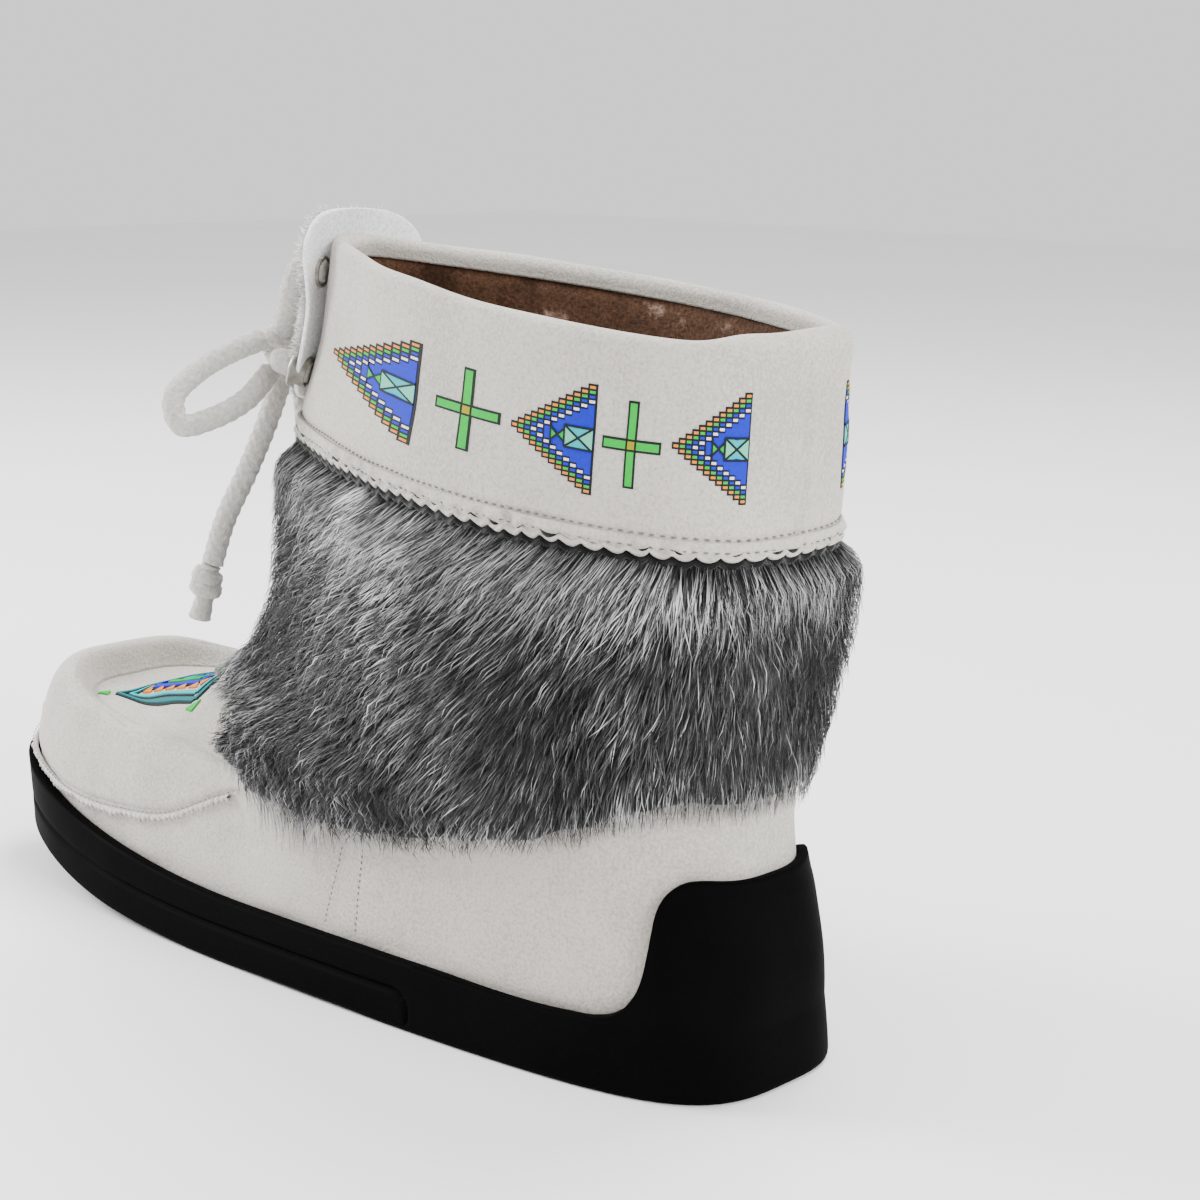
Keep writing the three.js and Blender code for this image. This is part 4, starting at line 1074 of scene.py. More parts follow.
@dataclass
class Stitcher:
    """Rows of short raised stitches along lines of the last."""

    last: Last
    thread: bpy.types.Material
    sides: int = 6

    def stitch_row(self, points: Array, normals: Array, length: float, pitch: float, radius: float) -> tuple[Array, Array]:
        """Capsules laid along a line, each a short arch that dips in at both ends.

        Args:
            points: the line.
            normals: outward normals along it.
            length: of one stitch.
            pitch: from one stitch to the next.
            radius: of the thread.
        Returns:
            Points (stitches, vertices, 3) and faces.
        """
        run = np.concatenate([[0], np.cumsum(np.linalg.norm(np.diff(points, axis=0), axis=1))])
        at = np.arange(pitch / 2, run[-1] - pitch / 2, pitch)
        u = np.linspace(-0.5, 0.5, 5)
        arch = radius * np.array([-0.9, 0.3, 0.55, 0.3, -0.9])
        thick = radius * np.array([0.35, 0.9, 1.0, 0.9, 0.35])
        places = at[:, None] + length * u[None]
        centre = np.stack([np.interp(places, run, points[:, k]) for k in range(3)], -1)
        out = unit(np.stack([np.interp(places, run, normals[:, k]) for k in range(3)], -1))
        way = unit(np.gradient(centre, axis=1))
        side = unit(np.cross(way, out))
        centre = centre + out * arch[None, :, None]
        t = np.linspace(0, 2 * math.pi, self.sides, endpoint=False)
        ring = thick[None, :, None, None] * (
            np.cos(t)[None, None, :, None] * side[:, :, None] + np.sin(t)[None, None, :, None] * out[:, :, None]
        )
        rings = centre[:, :, None] + ring
        caps = [np.repeat(centre[:, [i]][:, :, None], self.sides, 2) for i in (0, -1)]
        block = np.concatenate([caps[0], rings, caps[1]], 1)
        return many(block.reshape(len(at), -1, 3), rings_of(7, self.sides, False))

    def make(self, name: str, lines: list[tuple[Array, Array]], length: float, pitch: float, radius: float) -> None:
        """One joined piece of stitches from lines of (points, normals)."""
        points, faces, start = [], [], 0
        for line, normals in lines:
            p, f = self.stitch_row(line, normals, length, pitch, radius)
            points.append(p)
            faces.append(f + start)
            start += len(p)
        make_piece(name, np.vstack(points), np.vstack(faces), self.thread, "suede")

    def on_last(self, angles: Array, rings: Array, offset: float) -> tuple[Array, Array]:
        """A line of the last with its normals."""
        return self.last.skin(angles, rings, offset), self.last.normal(angles, rings)


# Cuff


@dataclass
class Cuff:
    """Suede cuff: band over the shaft, rolled collar, inner facing, pinked edge and a black strip under that edge which
    paints the shadow line beneath it.
    """

    last: Last
    suede: bpy.types.Material
    # black: near-black of the strip under the pinked edge, a painted shadow line
    black: bpy.types.Material
    stitcher: Stitcher
    # dark: stitches in near-black thread, painted shade of the stitch holes
    dark: Stitcher
    columns: int = 360
    facing: float = COLLAR - 0.1
    fold: float = 9.16
    tooth: float = 5.2
    base: float = GAP + CUFF_WALL
    # dents: angle share along the outer side, ring, half lengths, depth
    dents: tuple[tuple[float, float, float, float, float], ...] = (
        (0.10, 10.55, 0.06, 0.45, 1.0), (0.33, 10.6, 0.10, 0.4, 0.5), (0.7, 9.8, 0.10, 0.5, 0.5),
    )

    def relief(self, angle: Array, ring: Array) -> Array:
        """Soft dents and waves of the band, and the groove of the stitched fold near its edge."""
        s = along(angle)
        place = self.last.point(angle, ring)
        high = 0.35 * waves(place, 34, 21) + 0.12 * waves(place, 11, 22)
        for at, level, wide, tall, depth in self.dents:
            high = high - depth * np.exp(-(((s - at) / wide) ** 2) - (((ring - level) / tall) ** 2))
        high = high - 0.5 * bump_at(ring, self.fold + 0.012, 0.04)
        seam = np.abs(self.seam_gap(angle))
        high = high - 0.8 * np.exp(-((seam / 0.8) ** 2)) + 0.4 * np.exp(-(((seam - 2.4) / 1.8) ** 2))
        return high

    def seam_gap(self, angle: Array) -> Array:
        """Distance round the cuff from its back seam, in millimetres."""
        fine = np.linspace(-0.6, 0.6, 400)
        line = self.last.point(fine, 10.0)
        run = np.concatenate([[0], np.cumsum(np.linalg.norm(np.diff(line, axis=0), axis=1))])
        run = run - np.interp(0.0, fine, run)
        turned = np.where(angle > math.pi, angle - 2 * math.pi, angle)
        return np.where(np.abs(turned) < 0.6, np.interp(turned, fine, run) - 0.4, 99.0)

    def surface(self, angle: Array, ring: Array, height: Array | float = 0.0) -> Array:
        """Outer face of the band, or a face at a height over it."""
        angle, ring = np.broadcast_arrays(np.asarray(angle, float), np.asarray(ring, float))
        fade = 0.35 + 0.65 * smooth((COLLAR - ring) / 0.25)
        return self.last.skin(angle, ring, self.base + self.relief(angle, ring) * fade + height)

    def make_band(self) -> None:
        """Band with its rolled collar and the facing inside it."""
        outer = self.base
        a = self.last.spread(self.columns, 10.0)
        rings = np.linspace(CUFF_EDGE + 0.03, COLLAR, 66)
        ga, gr = np.meshgrid(a, rings)
        face = self.surface(ga, gr)
        top = self.last.skin(a, np.full_like(a, float(COLLAR)), 0)
        out = self.last.normal(a, np.full_like(a, float(COLLAR)))
        deep = WALL + 0.4 + 3.6 * np.exp(-((along(a) / 0.035) ** 2))
        middle, radius = ((outer - deep) / 2)[:, None], ((outer + deep) / 2)[:, None]
        soft = 0.25 * waves(top, 20, 23)[:, None]
        roll = [
            top + out * (middle + radius * math.cos(t)) + np.array([0, 0, 1]) * (radius * 1.05 * math.sin(t) + soft)
            for t in np.linspace(0, math.pi, 13)[1:-1]
        ]
        gi, gj = np.meshgrid(a, np.linspace(COLLAR, self.facing, 5))
        inside = self.last.skin(gi, gj, -deep[None] + 0.12 * waves(self.last.point(gi, gj), 9, 24))
        back = [self.last.skin(a, np.full_like(a, self.facing), -1.6), self.last.skin(a, np.full_like(a, COLLAR - 0.02), -1.2)]
        under = [self.last.skin(a, np.full_like(a, r), GAP + 0.1) for r in (COLLAR, 10.0, CUFF_EDGE + 0.03)]
        rows = [*face, *roll, *inside, *back, *under]
        piece = make_piece("cuff_suede", np.concatenate(rows), rings_of(len(rows), self.columns, True), self.suede, "suede")
        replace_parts(piece, "cuff")

    def edge_strip(self, name: str, finish: bpy.types.Material, drop: float, thick: float, base: float, slot: str,
                   top: float) -> None:
        """Pinked strip: its lower edge rises and falls in rounded teeth and waves in and out a little.

        Args:
            name: the piece's name.
            finish: its material.
            drop: how far the teeth hang below the cuff's edge line, in millimetres.
            thick: of the strip.
            base: distance of its inner face from the upper.
            slot: material slot.
            top: ring of its upper end.
        """
        fine = np.linspace(0, 2 * math.pi, 4000)
        line = self.last.skin(fine, np.full_like(fine, float(CUFF_EDGE)), base)
        run = np.concatenate([[0], np.cumsum(np.linalg.norm(np.diff(line, axis=0), axis=1))])
        teeth = round(run[-1] / self.tooth)
        columns = teeth * 9
        at = np.linspace(0, run[-1], columns, endpoint=False)
        a = np.interp(at, run, fine)
        place = self.last.point(a, float(CUFF_EDGE))
        phase = at / run[-1] * teeth + 0.12 * waves(place, 19, 61)
        tooth = np.abs(np.sin(math.pi * phase)) ** 0.8
        ruffle = 0.35 * np.sin(2 * math.pi * phase + 1.0) + 0.3 * waves(place, 9, 62)
        per_ring = 22.0
        low = CUFF_EDGE - (drop - 0.5 + 1.35 * tooth + 0.25 * waves(place, 12, 63)) / per_ring
        lumps = 0.75 * waves(place, 3.2, 64)
        rows = []
        for share in np.linspace(0, 1, 8):
            ring = lerp(top, low, share)
            crease = -0.5 * bump_at(share, 0.7, 0.2)
            swell = (0.25 + lumps) * math.sin(math.pi * min(1, share / 0.72)) if share < 0.72 else 0.12
            rows.append(self.last.skin(a, ring, base + thick + ruffle * share**2 + swell + crease))
        rows.append(self.last.skin(a, low - 0.4 * thick / per_ring, base + thick * 0.5 + ruffle))
        for share in (1, 0.6, 0.2, 0):
            rows.append(self.last.skin(a, lerp(top, low, share), base + ruffle * share**2))
        make_piece(name, np.concatenate(rows), rings_of(len(rows), columns, True), finish, slot)

    def make(self) -> None:
        """Band, pinked edge, the black strip of painted shadow under it, and the stitch rows."""
        self.make_band()
        self.edge_strip("cuff_edge", self.suede, 0.0, 0.9, self.base - 0.2, "suede", self.fold - 0.01)
        # black strip hanging below the pinked edge: a painted shadow line under the edge
        self.edge_strip("cuff_painted_shadow_strip", self.black, 1.9, 0.6, self.base - 0.75, "rubber", self.fold - 0.05)
        a = self.last.spread(1500, 9.0)
        rows = []
        ring = np.full_like(a, self.fold + 0.012) + 0.006 * waves(self.last.point(a, self.fold), 14, 65)
        rows.append((self.surface(a, ring, 0.3), self.last.normal(a, ring)))
        ring = ring - 0.12
        rows.append((self.last.skin(a, ring, self.base + 0.55), self.last.normal(a, ring)))
        # near-black thread: painted shade in the stitch holes
        self.dark.make("cuff_stitches", rows, 1.3, 2.4, 0.2)
        rings = np.linspace(CUFF_EDGE + 0.25, COLLAR - 0.1, 200)
        fine = np.linspace(-0.6, 0.6, 400)
        angle = np.full_like(rings, float(np.interp(1.9, self.seam_gap(fine), fine)))
        line = (self.surface(angle, rings, 0.1), self.last.normal(angle, rings))
        self.stitcher.make("cuff_seam_stitches", [line], 1.5, 2.3, 0.16)


# Coloured figures


class Ink(Enum):
    """Colours of the figures."""

    BLACK = (0.006, 0.006, 0.008)
    ORANGE = (0.66, 0.22, 0.02)
    GREEN = (0.0, 0.40, 0.035)
    BLUE = (0.0, 0.010, 0.46)
    WHITE = (0.80, 0.78, 0.74)
    AQUA = (0.12, 0.50, 0.34)
    CYAN = (0.01, 0.38, 0.42)
    OLIVE = (0.30, 0.25, 0.0)
    TEAL = (0.0, 0.13, 0.14)


@dataclass
class Figures:
    """Stepped triangles and crosses round the cuff, and a medallion on the toe's plug."""

    last: Last
    cuff: Cuff
    upper: Upper
    inlay: bpy.types.Material
    steps: int = 12
    height: float = 24.0
    line: float = 0.46
    # triangles: share along of the point, ring, length; crosses: share, ring, half length, half height
    triangles: tuple[tuple[float, float, float], ...] = ((0.869, 10.02, 56.0), (0.314, 10.03, 22.0), (0.076, 10.09, 16.4))
    crosses: tuple[tuple[float, float, float, float], ...] = ((0.408, 10.04, 11.2, 9.5), (0.1255, 10.04, 6.6, 9.5))
    blocks: list[tuple[Array, Array, Array]] = field(default_factory=list)

    def block(self, corners: list[tuple[float, float]], ink: Ink, low: float, high: float) -> tuple[Array, Array, Ink]:
        """Four corners on the flat, with the heights of a tile's foot and face."""
        flat = np.array(corners, float)
        return np.concatenate([np.c_[flat, np.full(4, low)], np.c_[flat, np.full(4, high)]]), ink

    def bar(self, x0: float, y0: float, x1: float, y1: float, ink: Ink, low: float, high: float) -> list:
        """Upright rectangle, cut into lengths that follow the curve of the boot."""
        count = max(1, int(math.ceil(max(abs(x1 - x0), abs(y1 - y0)) / 2.6)))
        tiles = []
        for i in range(count):
            t, u = i / count, (i + 1) / count
            if abs(x1 - x0) >= abs(y1 - y0):
                a, b = lerp(x0, x1, t), lerp(x0, x1, u)
                tiles.append(self.block([(a, y0), (b, y0), (b, y1), (a, y1)], ink, low, high))
            else:
                a, b = lerp(y0, y1, t), lerp(y0, y1, u)
                tiles.append(self.block([(x0, a), (x1, a), (x1, b), (x0, b)], ink, low, high))
        return tiles

    def stroke(self, x0: float, y0: float, x1: float, y1: float, width: float, ink: Ink, low: float, high: float) -> list:
        """Slanted line of a given width, cut into short lengths."""
        way = np.array([x1 - x0, y1 - y0])
        length = float(np.hypot(*way))
        side = np.array([-way[1], way[0]]) / length * width / 2
        count = max(1, int(math.ceil(length / 2.6)))
        ends = [np.array([x0, y0]) + way * i / count for i in range(count + 1)]
        return [
            self.block([tuple(a - side), tuple(b - side), tuple(b + side), tuple(a + side)], ink, low, high)
            for a, b in zip(ends, ends[1:])
        ]

    def wedge(self, a: tuple, b: tuple, c: tuple, ink: Ink, low: float, high: float) -> list:
        """Triangle cut into strips from its first corner's side to the opposite one."""
        p, q, r = (np.array(v, float) for v in (a, b, c))
        count = 4
        tiles = []
        for i in range(count):
            t, u = max(i / count, 0.02), (i + 1) / count
            tiles.append(self.block([tuple(lerp(p, q, t)), tuple(lerp(p, q, u)), tuple(lerp(p, r, u)),
                                     tuple(lerp(p, r, t))], ink, low, high))
        return tiles

    def triangle(self, length: float) -> list:
        """Stepped triangle: column k holds 2k + 1 bricks, coloured by their distance from the edge,
        round a blue field with a bow tie and a crossed square. Its point is at u = 0."""
        w, h = length / self.steps, self.height / (2 * self.steps - 1)
        gu, gv = self.line / 2 * w / 1.63, self.line / 2
        tiles = []
        inks = (Ink.ORANGE, Ink.GREEN, Ink.BLUE, Ink.WHITE)
        for k in range(self.steps):
            top = (k + 0.5) * h
            tiles += self.bar(k * w - gu, -top - gv, (k + 1) * w + gu, top + gv, Ink.BLACK, -0.3, 0.16)
            for row in range(-k, k + 1):
                depth = k - abs(row)
                if depth < 4:
                    tiles += self.bar(k * w + gu, (row - 0.5) * h + gv, (k + 1) * w - gu, (row + 0.5) * h - gv,
                                      inks[depth], 0, 0.24)
            inner = (k - 4 + 0.5) * h
            if k >= 4:
                left = gu if k < 6 else 0
                tiles += self.bar(k * w + left, -inner + gv, (k + 1) * w - (gu if k in (4, self.steps - 1) else 0),
                                  inner - gv, Ink.BLUE, 0, 0.24)
        x, tie, half = 6.1 * w, 1.95 * w, 1.4 * h
        middle = x + tie / 2
        for end in (x, x + tie):
            tiles += self.wedge((middle, 0), (end, half), (end, -half), Ink.GREEN, 0.1, 0.34)
        thin = self.line
        for sign in (1, -1):
            tiles += self.stroke(x, sign * half, x + tie, -sign * half, thin, Ink.BLACK, 0.1, 0.42)
        tiles += self.stroke(x, -half * 1.9, x, half * 1.9, thin * 0.8, Ink.BLACK, 0.1, 0.40)
        left, right, box = x + tie, self.steps * w - gu, 2.3 * h
        centre = ((left + right) / 2, 0)
        corners = [(left, -box), (right, -box), (right, box), (left, box)]
        for i, ink in enumerate((Ink.CYAN, Ink.AQUA, Ink.CYAN, Ink.AQUA)):
            tiles += self.wedge(centre, corners[i], corners[(i + 1) % 4], ink, 0.1, 0.34)
        for a, b in ((0, 2), (1, 3), (0, 1), (2, 3), (3, 0)):
            tiles += self.stroke(*corners[a], *corners[b], thin, Ink.BLACK, 0.1, 0.42)
        return tiles

    def cross(self, across: float, tall: float) -> list:
        """Thin cross with a black outline and an olive middle."""
        gv = self.line * 1.1
        wide_v = 0.85
        wide_u, gu = wide_v * across / 7.4, gv * across / 7.4
        tiles = self.bar(-wide_u - gu, -tall, wide_u + gu, tall, Ink.BLACK, -0.3, 0.16)
        tiles += self.bar(-across, -wide_v - gv, across, wide_v + gv, Ink.BLACK, -0.3, 0.16)
        for sign in (1, -1):
            tiles += self.bar(-wide_u, sign * (wide_v + gv), wide_u, sign * (tall - gv), Ink.GREEN, 0, 0.25)
            tiles += self.bar(sign * (wide_u + gu), -wide_v, sign * (across - gu), wide_v, Ink.GREEN, 0, 0.25)
        return tiles + self.bar(-wide_u, -wide_v, wide_u, wide_v, Ink.OLIVE, 0, 0.25)

    def lay(self, tiles: list, place: object) -> None:
        """Puts flat tiles on the boot.

        Args:
            tiles: blocks of the flat figure.
            place: a function from flat (u, v, height) arrays to points.
        """
        flat = np.array([t[0] for t in tiles])
        inks = np.array([t[1].value for t in tiles])
        points = place(flat[..., 0], flat[..., 1], flat[..., 2])
        faces = np.array([[0, 3, 2, 1], [4, 5, 6, 7], [0, 1, 5, 4], [1, 2, 6, 5], [2, 3, 7, 6], [3, 0, 4, 7]])
        area = (flat[:, 2, 0] - flat[:, 0, 0]) * (flat[:, 3, 1] - flat[:, 1, 1])
        area = area - (flat[:, 3, 0] - flat[:, 1, 0]) * (flat[:, 2, 1] - flat[:, 0, 1])
        points = np.where((area < 0)[:, None, None], points[:, [0, 3, 2, 1, 4, 7, 6, 5]], points)
        p, f = many(points, faces)
        start = sum(len(b[0]) for b in self.blocks)
        self.blocks.append((p, f + start, np.repeat(inks, 8, 0)))

    def on_cuff(self, share: float, ring: float, outer: bool) -> object:
        """Place of a flat figure on the cuff: u runs along the ring, v up across the rings."""
        sign = 1 if outer else -1
        start = float(angle_of(share)) * sign
        fine = start + np.linspace(-1.9, 1.9, 2400)
        line = self.cuff.surface(fine, ring)
        run = np.concatenate([[0], np.cumsum(np.linalg.norm(np.diff(line, axis=0), axis=1))])
        run = (run - np.interp(start, fine, run)) * sign
        order = np.argsort(run)
        step = 0.25

        def place(u: Array, v: Array, height: Array) -> Array:
            """Flat place to a point on the cuff."""
            angle = np.interp(-u, run[order], fine[order])
            tall = np.linalg.norm(self.last.point(angle, ring + step) - self.last.point(angle, ring - step), axis=-1)
            return self.cuff.surface(angle % (2 * math.pi), ring + v * 2 * step / tall, height)

        return place

    def make_cuff(self) -> None:
        """Three triangles and two crosses on each side of the cuff."""
        for outer in (True, False):
            for share, ring, length in self.triangles:
                self.lay(self.triangle(length), self.on_cuff(share, ring, outer))
            for share, ring, across, tall in self.crosses:
                self.lay(self.cross(across, tall), self.on_cuff(share, ring, outer))
        self.finish("cuff_figures")

    def make_medallion(self) -> None:
        """Generic medallion on the plug: nested squares, a row of teeth, a pinwheel and four leaves."""
        tiles = []
        bands = ((26.0, Ink.TEAL, 1.3), (22.4, Ink.CYAN, 1.0), (15.4, Ink.BLUE, 1.8), (11.0, Ink.GREEN, 1.3))
        for half, ink, width in bands:
            corners = [(-half, 0), (0, half), (half, 0), (0, -half)]
            for i in range(4):
                ends = (*corners[i], *corners[(i + 1) % 4])
                tiles += self.stroke(*ends, width + 1.2, Ink.BLACK, -0.4, 0.25)
                tiles += self.stroke(*ends, width, ink, 0, 0.6)
        for turn in range(4):
            c, d = (1, 0, -1, 0)[turn], (0, 1, 0, -1)[turn]
            for k in range(5):
                t = (k + 0.5) / 5
                x, y = 19.4 * (1 - t), 19.4 * t
                teeth = [(x + 1.4, y - 1.4), (x - 1.4, y + 1.4), (x - 1.7, y - 1.7)]
                corners = [(c * px - d * py, d * px + c * py) for px, py in teeth]
                tiles += self.wedge(corners[2], corners[0], corners[1], Ink.ORANGE, -0.3, 0.5)
            petal = [(c * px - d * py, d * px + c * py) for px, py in ((1.2, 0), (7.0, 0), (3.8, 3.4))]
            tiles += self.wedge(*petal, Ink.BLUE if turn % 2 else Ink.CYAN, -0.3, 0.5)
            leaf = [(c * px - d * py, d * px + c * py) for px, py in ((32.0, 0), (28.6, 2.2), (28.6, -2.2))]
            tiles += self.wedge(*leaf, Ink.GREEN, -0.3, 0.5)

        def place(u: Array, v: Array, height: Array) -> Array:
            """Flat place to a point on the plug: the squares' sides run along and across the boot."""
            x, y = 212 + (u - v) * 0.7071, -0.5 + (u + v) * 0.7071
            return self.plug_point(x, y, height)

        self.lay(tiles, place)
        self.finish("toe_medallion")

    def plug_point(self, x: Array, y: Array, height: Array) -> Array:
        """Point of the plug over a ground-plan place: the nearest of a fine sampling, moved along
        the slope that its neighbours give."""
        a, r = np.meshgrid(np.linspace(1.9, 2 * math.pi - 1.9, 420), np.linspace(3.4, 6.0, 160))
        grid = self.upper.face(a, r, 0.05)
        along_a, along_r = np.gradient(grid, axis=1), np.gradient(grid, axis=0)
        tilt = np.cross(along_a, along_r).reshape(-1, 3)
        samples = grid.reshape(-1, 3).astype(np.float32)
        flat = np.stack([x, y], -1).reshape(-1, 2)
        near = np.concatenate([
            ((part[:, None].astype(np.float32) - samples[None, :, :2]) ** 2).sum(-1).argmin(1)
            for part in np.array_split(flat, max(1, len(flat) // 60))
        ])
        away = flat - samples[near, :2]
        n = tilt[near]
        steep = np.clip(n[:, :2] / n[:, 2:3], -0.5, 0.5)
        z = samples[near, 2] - (steep * away).sum(1)
        return np.c_[flat, z + height.ravel()].reshape(*x.shape, 3)

    def finish(self, name: str) -> None:
        """Joins what was laid into one piece."""
        points = np.vstack([b[0] for b in self.blocks])
        faces = np.vstack([b[1] for b in self.blocks])
        make_piece(name, points, faces, self.inlay, "suede", tint=np.vstack([b[2] for b in self.blocks]), flat=True)
        self.blocks = []


# Fur


@dataclass
class Fur:
    """Shaggy fur round the ankle: a soft hide and hairs that lie down and forward over it."""

    last: Last
    hide: bpy.types.Material
    hair: bpy.types.Material
    depth: float = 13.0
    front: float = 0.75
    count: int = 45000
    length: float = 11.0
    seed: int = 7
    edge: tuple[tuple[float, float], ...] = (
        (0, 5.8), (0.03, 5.9), (0.08, 5.7), (0.15, 5.1), (0.19, 4.5), (0.27, 3.95), (0.34, 3.4), (0.4, 2.9),
        (0.47, 2.56), (0.55, 2.66), (0.6, 3.1), (0.64, 3.6), (0.76, 5.0), (0.85, 5.45), (1, 5.65),
    )
    thickness: tuple[tuple[float, float], ...] = (
        (0, 0.30), (0.15, 0.55), (0.45, 0.8), (0.75, 1.0), (0.92, 0.85), (1, 0.16),
    )
    # lean of the hairs from straight down towards the toe, in degrees, low on the fur and high
    lean_low: tuple[tuple[float, float], ...] = ((0, 0), (0.04, 3), (0.12, 10), (0.3, 23), (0.5, 30), (0.7, 32), (0.92, 22), (1, 0))
    lean_high: tuple[tuple[float, float], ...] = ((0, 0), (0.04, 5), (0.12, 20), (0.3, 38), (0.6, 47), (0.9, 34), (1, 0))

    def ring(self, angle: Array, share: Array) -> Array:
        """Ring of the last at a share of the way up the fur."""
        return lerp(table_at(np.array(self.edge), along(angle)), CUFF_EDGE - 0.06, share)

    def share(self, angle: Array, ring: Array) -> Array:
        """Share of the way up the fur at a ring of the last."""
        low = table_at(np.array(self.edge), along(angle))
        return (ring - low) / (CUFF_EDGE - 0.06 - low)

    def thick(self, angle: Array, share: Array) -> Array:
        """Thickness of the fur off the upper, falling off below its lower edge."""
        front = lerp(1, self.front, smooth((along(angle) - 0.6) / 0.4))
        full = self.depth * table_at(np.array(self.thickness), np.clip(share, 0, 1)) * front
        return full * smooth(1 + share * 5)

    def point(self, angle: Array, share: Array, offset: Array | float) -> Array:
        """Point over the upper at a share of the way up the fur."""
        return self.last.skin(angle, self.ring(angle, share), offset)

    def make_hide(self) -> None:
        """Dark lumpy hide under the hairs."""
        shares = np.linspace(0.09, 1, 36)
        a, v = np.meshgrid(np.linspace(0, 2 * math.pi, 220, endpoint=False), shares)
        base = self.point(a, v, 0)
        high = np.maximum(1.3, self.thick(a, v) * 0.42 + 0.5 * waves(base, 7, 31))
        outer = self.point(a, v, high)
        inner = self.point(a[::8], v[::8], 0.5)[::-1]
        rows = np.concatenate([outer, inner])
        piece = make_piece("fur_hide", rows.reshape(-1, 3), rings_of(len(rows), 220, True), self.hide, "fur")
        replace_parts(piece, "fur_band")

    def roots(self, rng: np.random.Generator) -> tuple[Array, Array]:
        """Places of the hairs, spread evenly over the hide's area and closer along its top."""
        a, v = np.meshgrid(np.linspace(0, 2 * math.pi, 721), np.linspace(0.05, 1.0, 61))
        p = self.point(a, v, 6.0)
        du, dv = p[:-1, 1:] - p[:-1, :-1], p[1:, :-1] - p[:-1, :-1]
        area = np.linalg.norm(np.cross(du, dv), axis=-1) * (1 + 2.6 * smooth((v[:-1, :-1] - 0.86) / 0.1))
        cells = rng.choice(area.size, self.count, p=(area / area.sum()).ravel())
        row, column = np.unravel_index(cells, area.shape)
        angle = a[0, column] + (a[0, 1] - a[0, 0]) * rng.random(self.count)
        share = v[row, 0] + (v[1, 0] - v[0, 0]) * rng.random(self.count)
        bare = 0.14 * bump_at(along(angle), 0.56, 0.24)
        return angle, bare + (1.0 - bare) * share

    def tints(self, rng: np.random.Generator, place: Array, share: Array, steps: int) -> Array:
        """Salt and pepper: each hair's grey, dark at its root, and lighter or darker at its tip."""
        kind, count = rng.random(len(place)), len(place)
        light = 0.09 + 0.44 * smooth((share - 0.75) / 0.2) + 0.5 * smooth((0.38 - share) / 0.22)
        grey = np.where(kind < 0.34, rng.uniform(0.012, 0.045, count),
                        np.where(kind < 1 - light, rng.uniform(0.04, 0.145, count), rng.uniform(0.26, 0.62, count)))
        grey = grey * (1 + 0.30 * waves(place, 26, 41) + 0.25 * waves(place, 9, 42))
        t = np.linspace(0, 1, steps)[None]
        tip = np.where(rng.random(count) < 0.3, 0.4, 1.3)[:, None]
        run = lerp(0.3, 1.0, smooth(t / 0.4)) * lerp(1.0, tip, smooth((t - 0.6) / 0.4))
        value = np.clip(grey[:, None] * run, 0.004, 0.85)
        return value[..., None] * np.array([1.0, 1.0, 1.01])

    def heading(self, angle: Array, ring: Array, lean: Array, length: Array) -> tuple[Array, Array]:
        """Change of angle and ring that moves a place by a length in a direction on the surface:
        least squares of the two slopes against the wanted step, lean from straight down to the toe."""
        da, dr = 0.01, 0.05
        around = (self.last.point(angle + da, ring) - self.last.point(angle - da, ring)) / (2 * da)
        up = (self.last.point(angle, ring + dr) - self.last.point(angle, ring - dr)) / (2 * dr)
        forward = unit(around * [1, 1, 0]) * np.where(np.sin(angle) > 0, 1.0, -1.0)[:, None]
        normal = self.last.normal(angle, ring)
        down = np.array([0, 0, -1.0]) + normal * normal[:, 2:3]
        want = (unit(down) * np.cos(lean)[:, None] + forward * np.sin(lean)[:, None]) * length[:, None]
        aa, ar, rr = ((p * q).sum(-1) for p, q in ((around, around), (around, up), (up, up)))
        wa, wr = (around * want).sum(-1), (up * want).sum(-1)
        det = aa * rr - ar * ar
        return (wa * rr - wr * ar) / det, (wr * aa - wa * ar) / det

    def strands(self, rng: np.random.Generator, angle: Array, share: Array, steps: int) -> tuple[Array, Array]:
        """Lines of the hairs: each runs over the hide in its combed direction, rises off it and
        lies down again; tips of one clump draw together.

        Returns:
            Points (hairs, steps, 3) and the root places.
        """
        ring = self.ring(angle, share)
        root = self.last.skin(angle, ring, 3.0)
        s = along(angle)
        lean = lerp(table_at(np.array(self.lean_low), s), table_at(np.array(self.lean_high), s),
                    smooth((share - 0.45) / 0.5))
        lean = np.radians(lean + 7 * waves(root, 30, 51) + 5 * waves(root, 8, 52) + rng.normal(0, 7, len(root)))
        low = smooth((0.30 - share) / 0.25)
        length = self.length * rng.uniform(0.6, 1.12, len(root)) * lerp(1.0, 0.55, low)
        length = length * (1 - 0.35 * smooth((0.4 - share) / 0.3) * bump_at(s, 0.56, 0.34))
        turn, climb = self.heading(angle, ring, lean, length)
        cell = np.round(root / [3.2, 3.2, 4.0])
        pull = np.sin(cell @ np.array([12.9898, 78.233, 37.719])) * 43758.5453
        pull = pull - np.floor(pull) - 0.5
        t = np.linspace(0, 1, steps)[None]
        a = angle[:, None] + turn[:, None] * (t + 0.10 * pull[:, None] * t**2)
        r = ring[:, None] + climb[:, None] * t
        v = self.share(a, r)
        full = np.maximum(self.thick(a, v), 1.6)
        level = rng.uniform(0.5, 0.92, len(root))[:, None] * lerp(0.72, 1, smooth(s / 0.1))[:, None]
        high = lerp(0.42, level, smooth(t * 1.9)) * full + 0.3
        high = high + rng.normal(0, 0.3, high.shape) * t
        high[:, -1] += rng.normal(0.1, 0.7, len(root))
        return self.last.skin(a, r, np.maximum(high, 0.7)), root

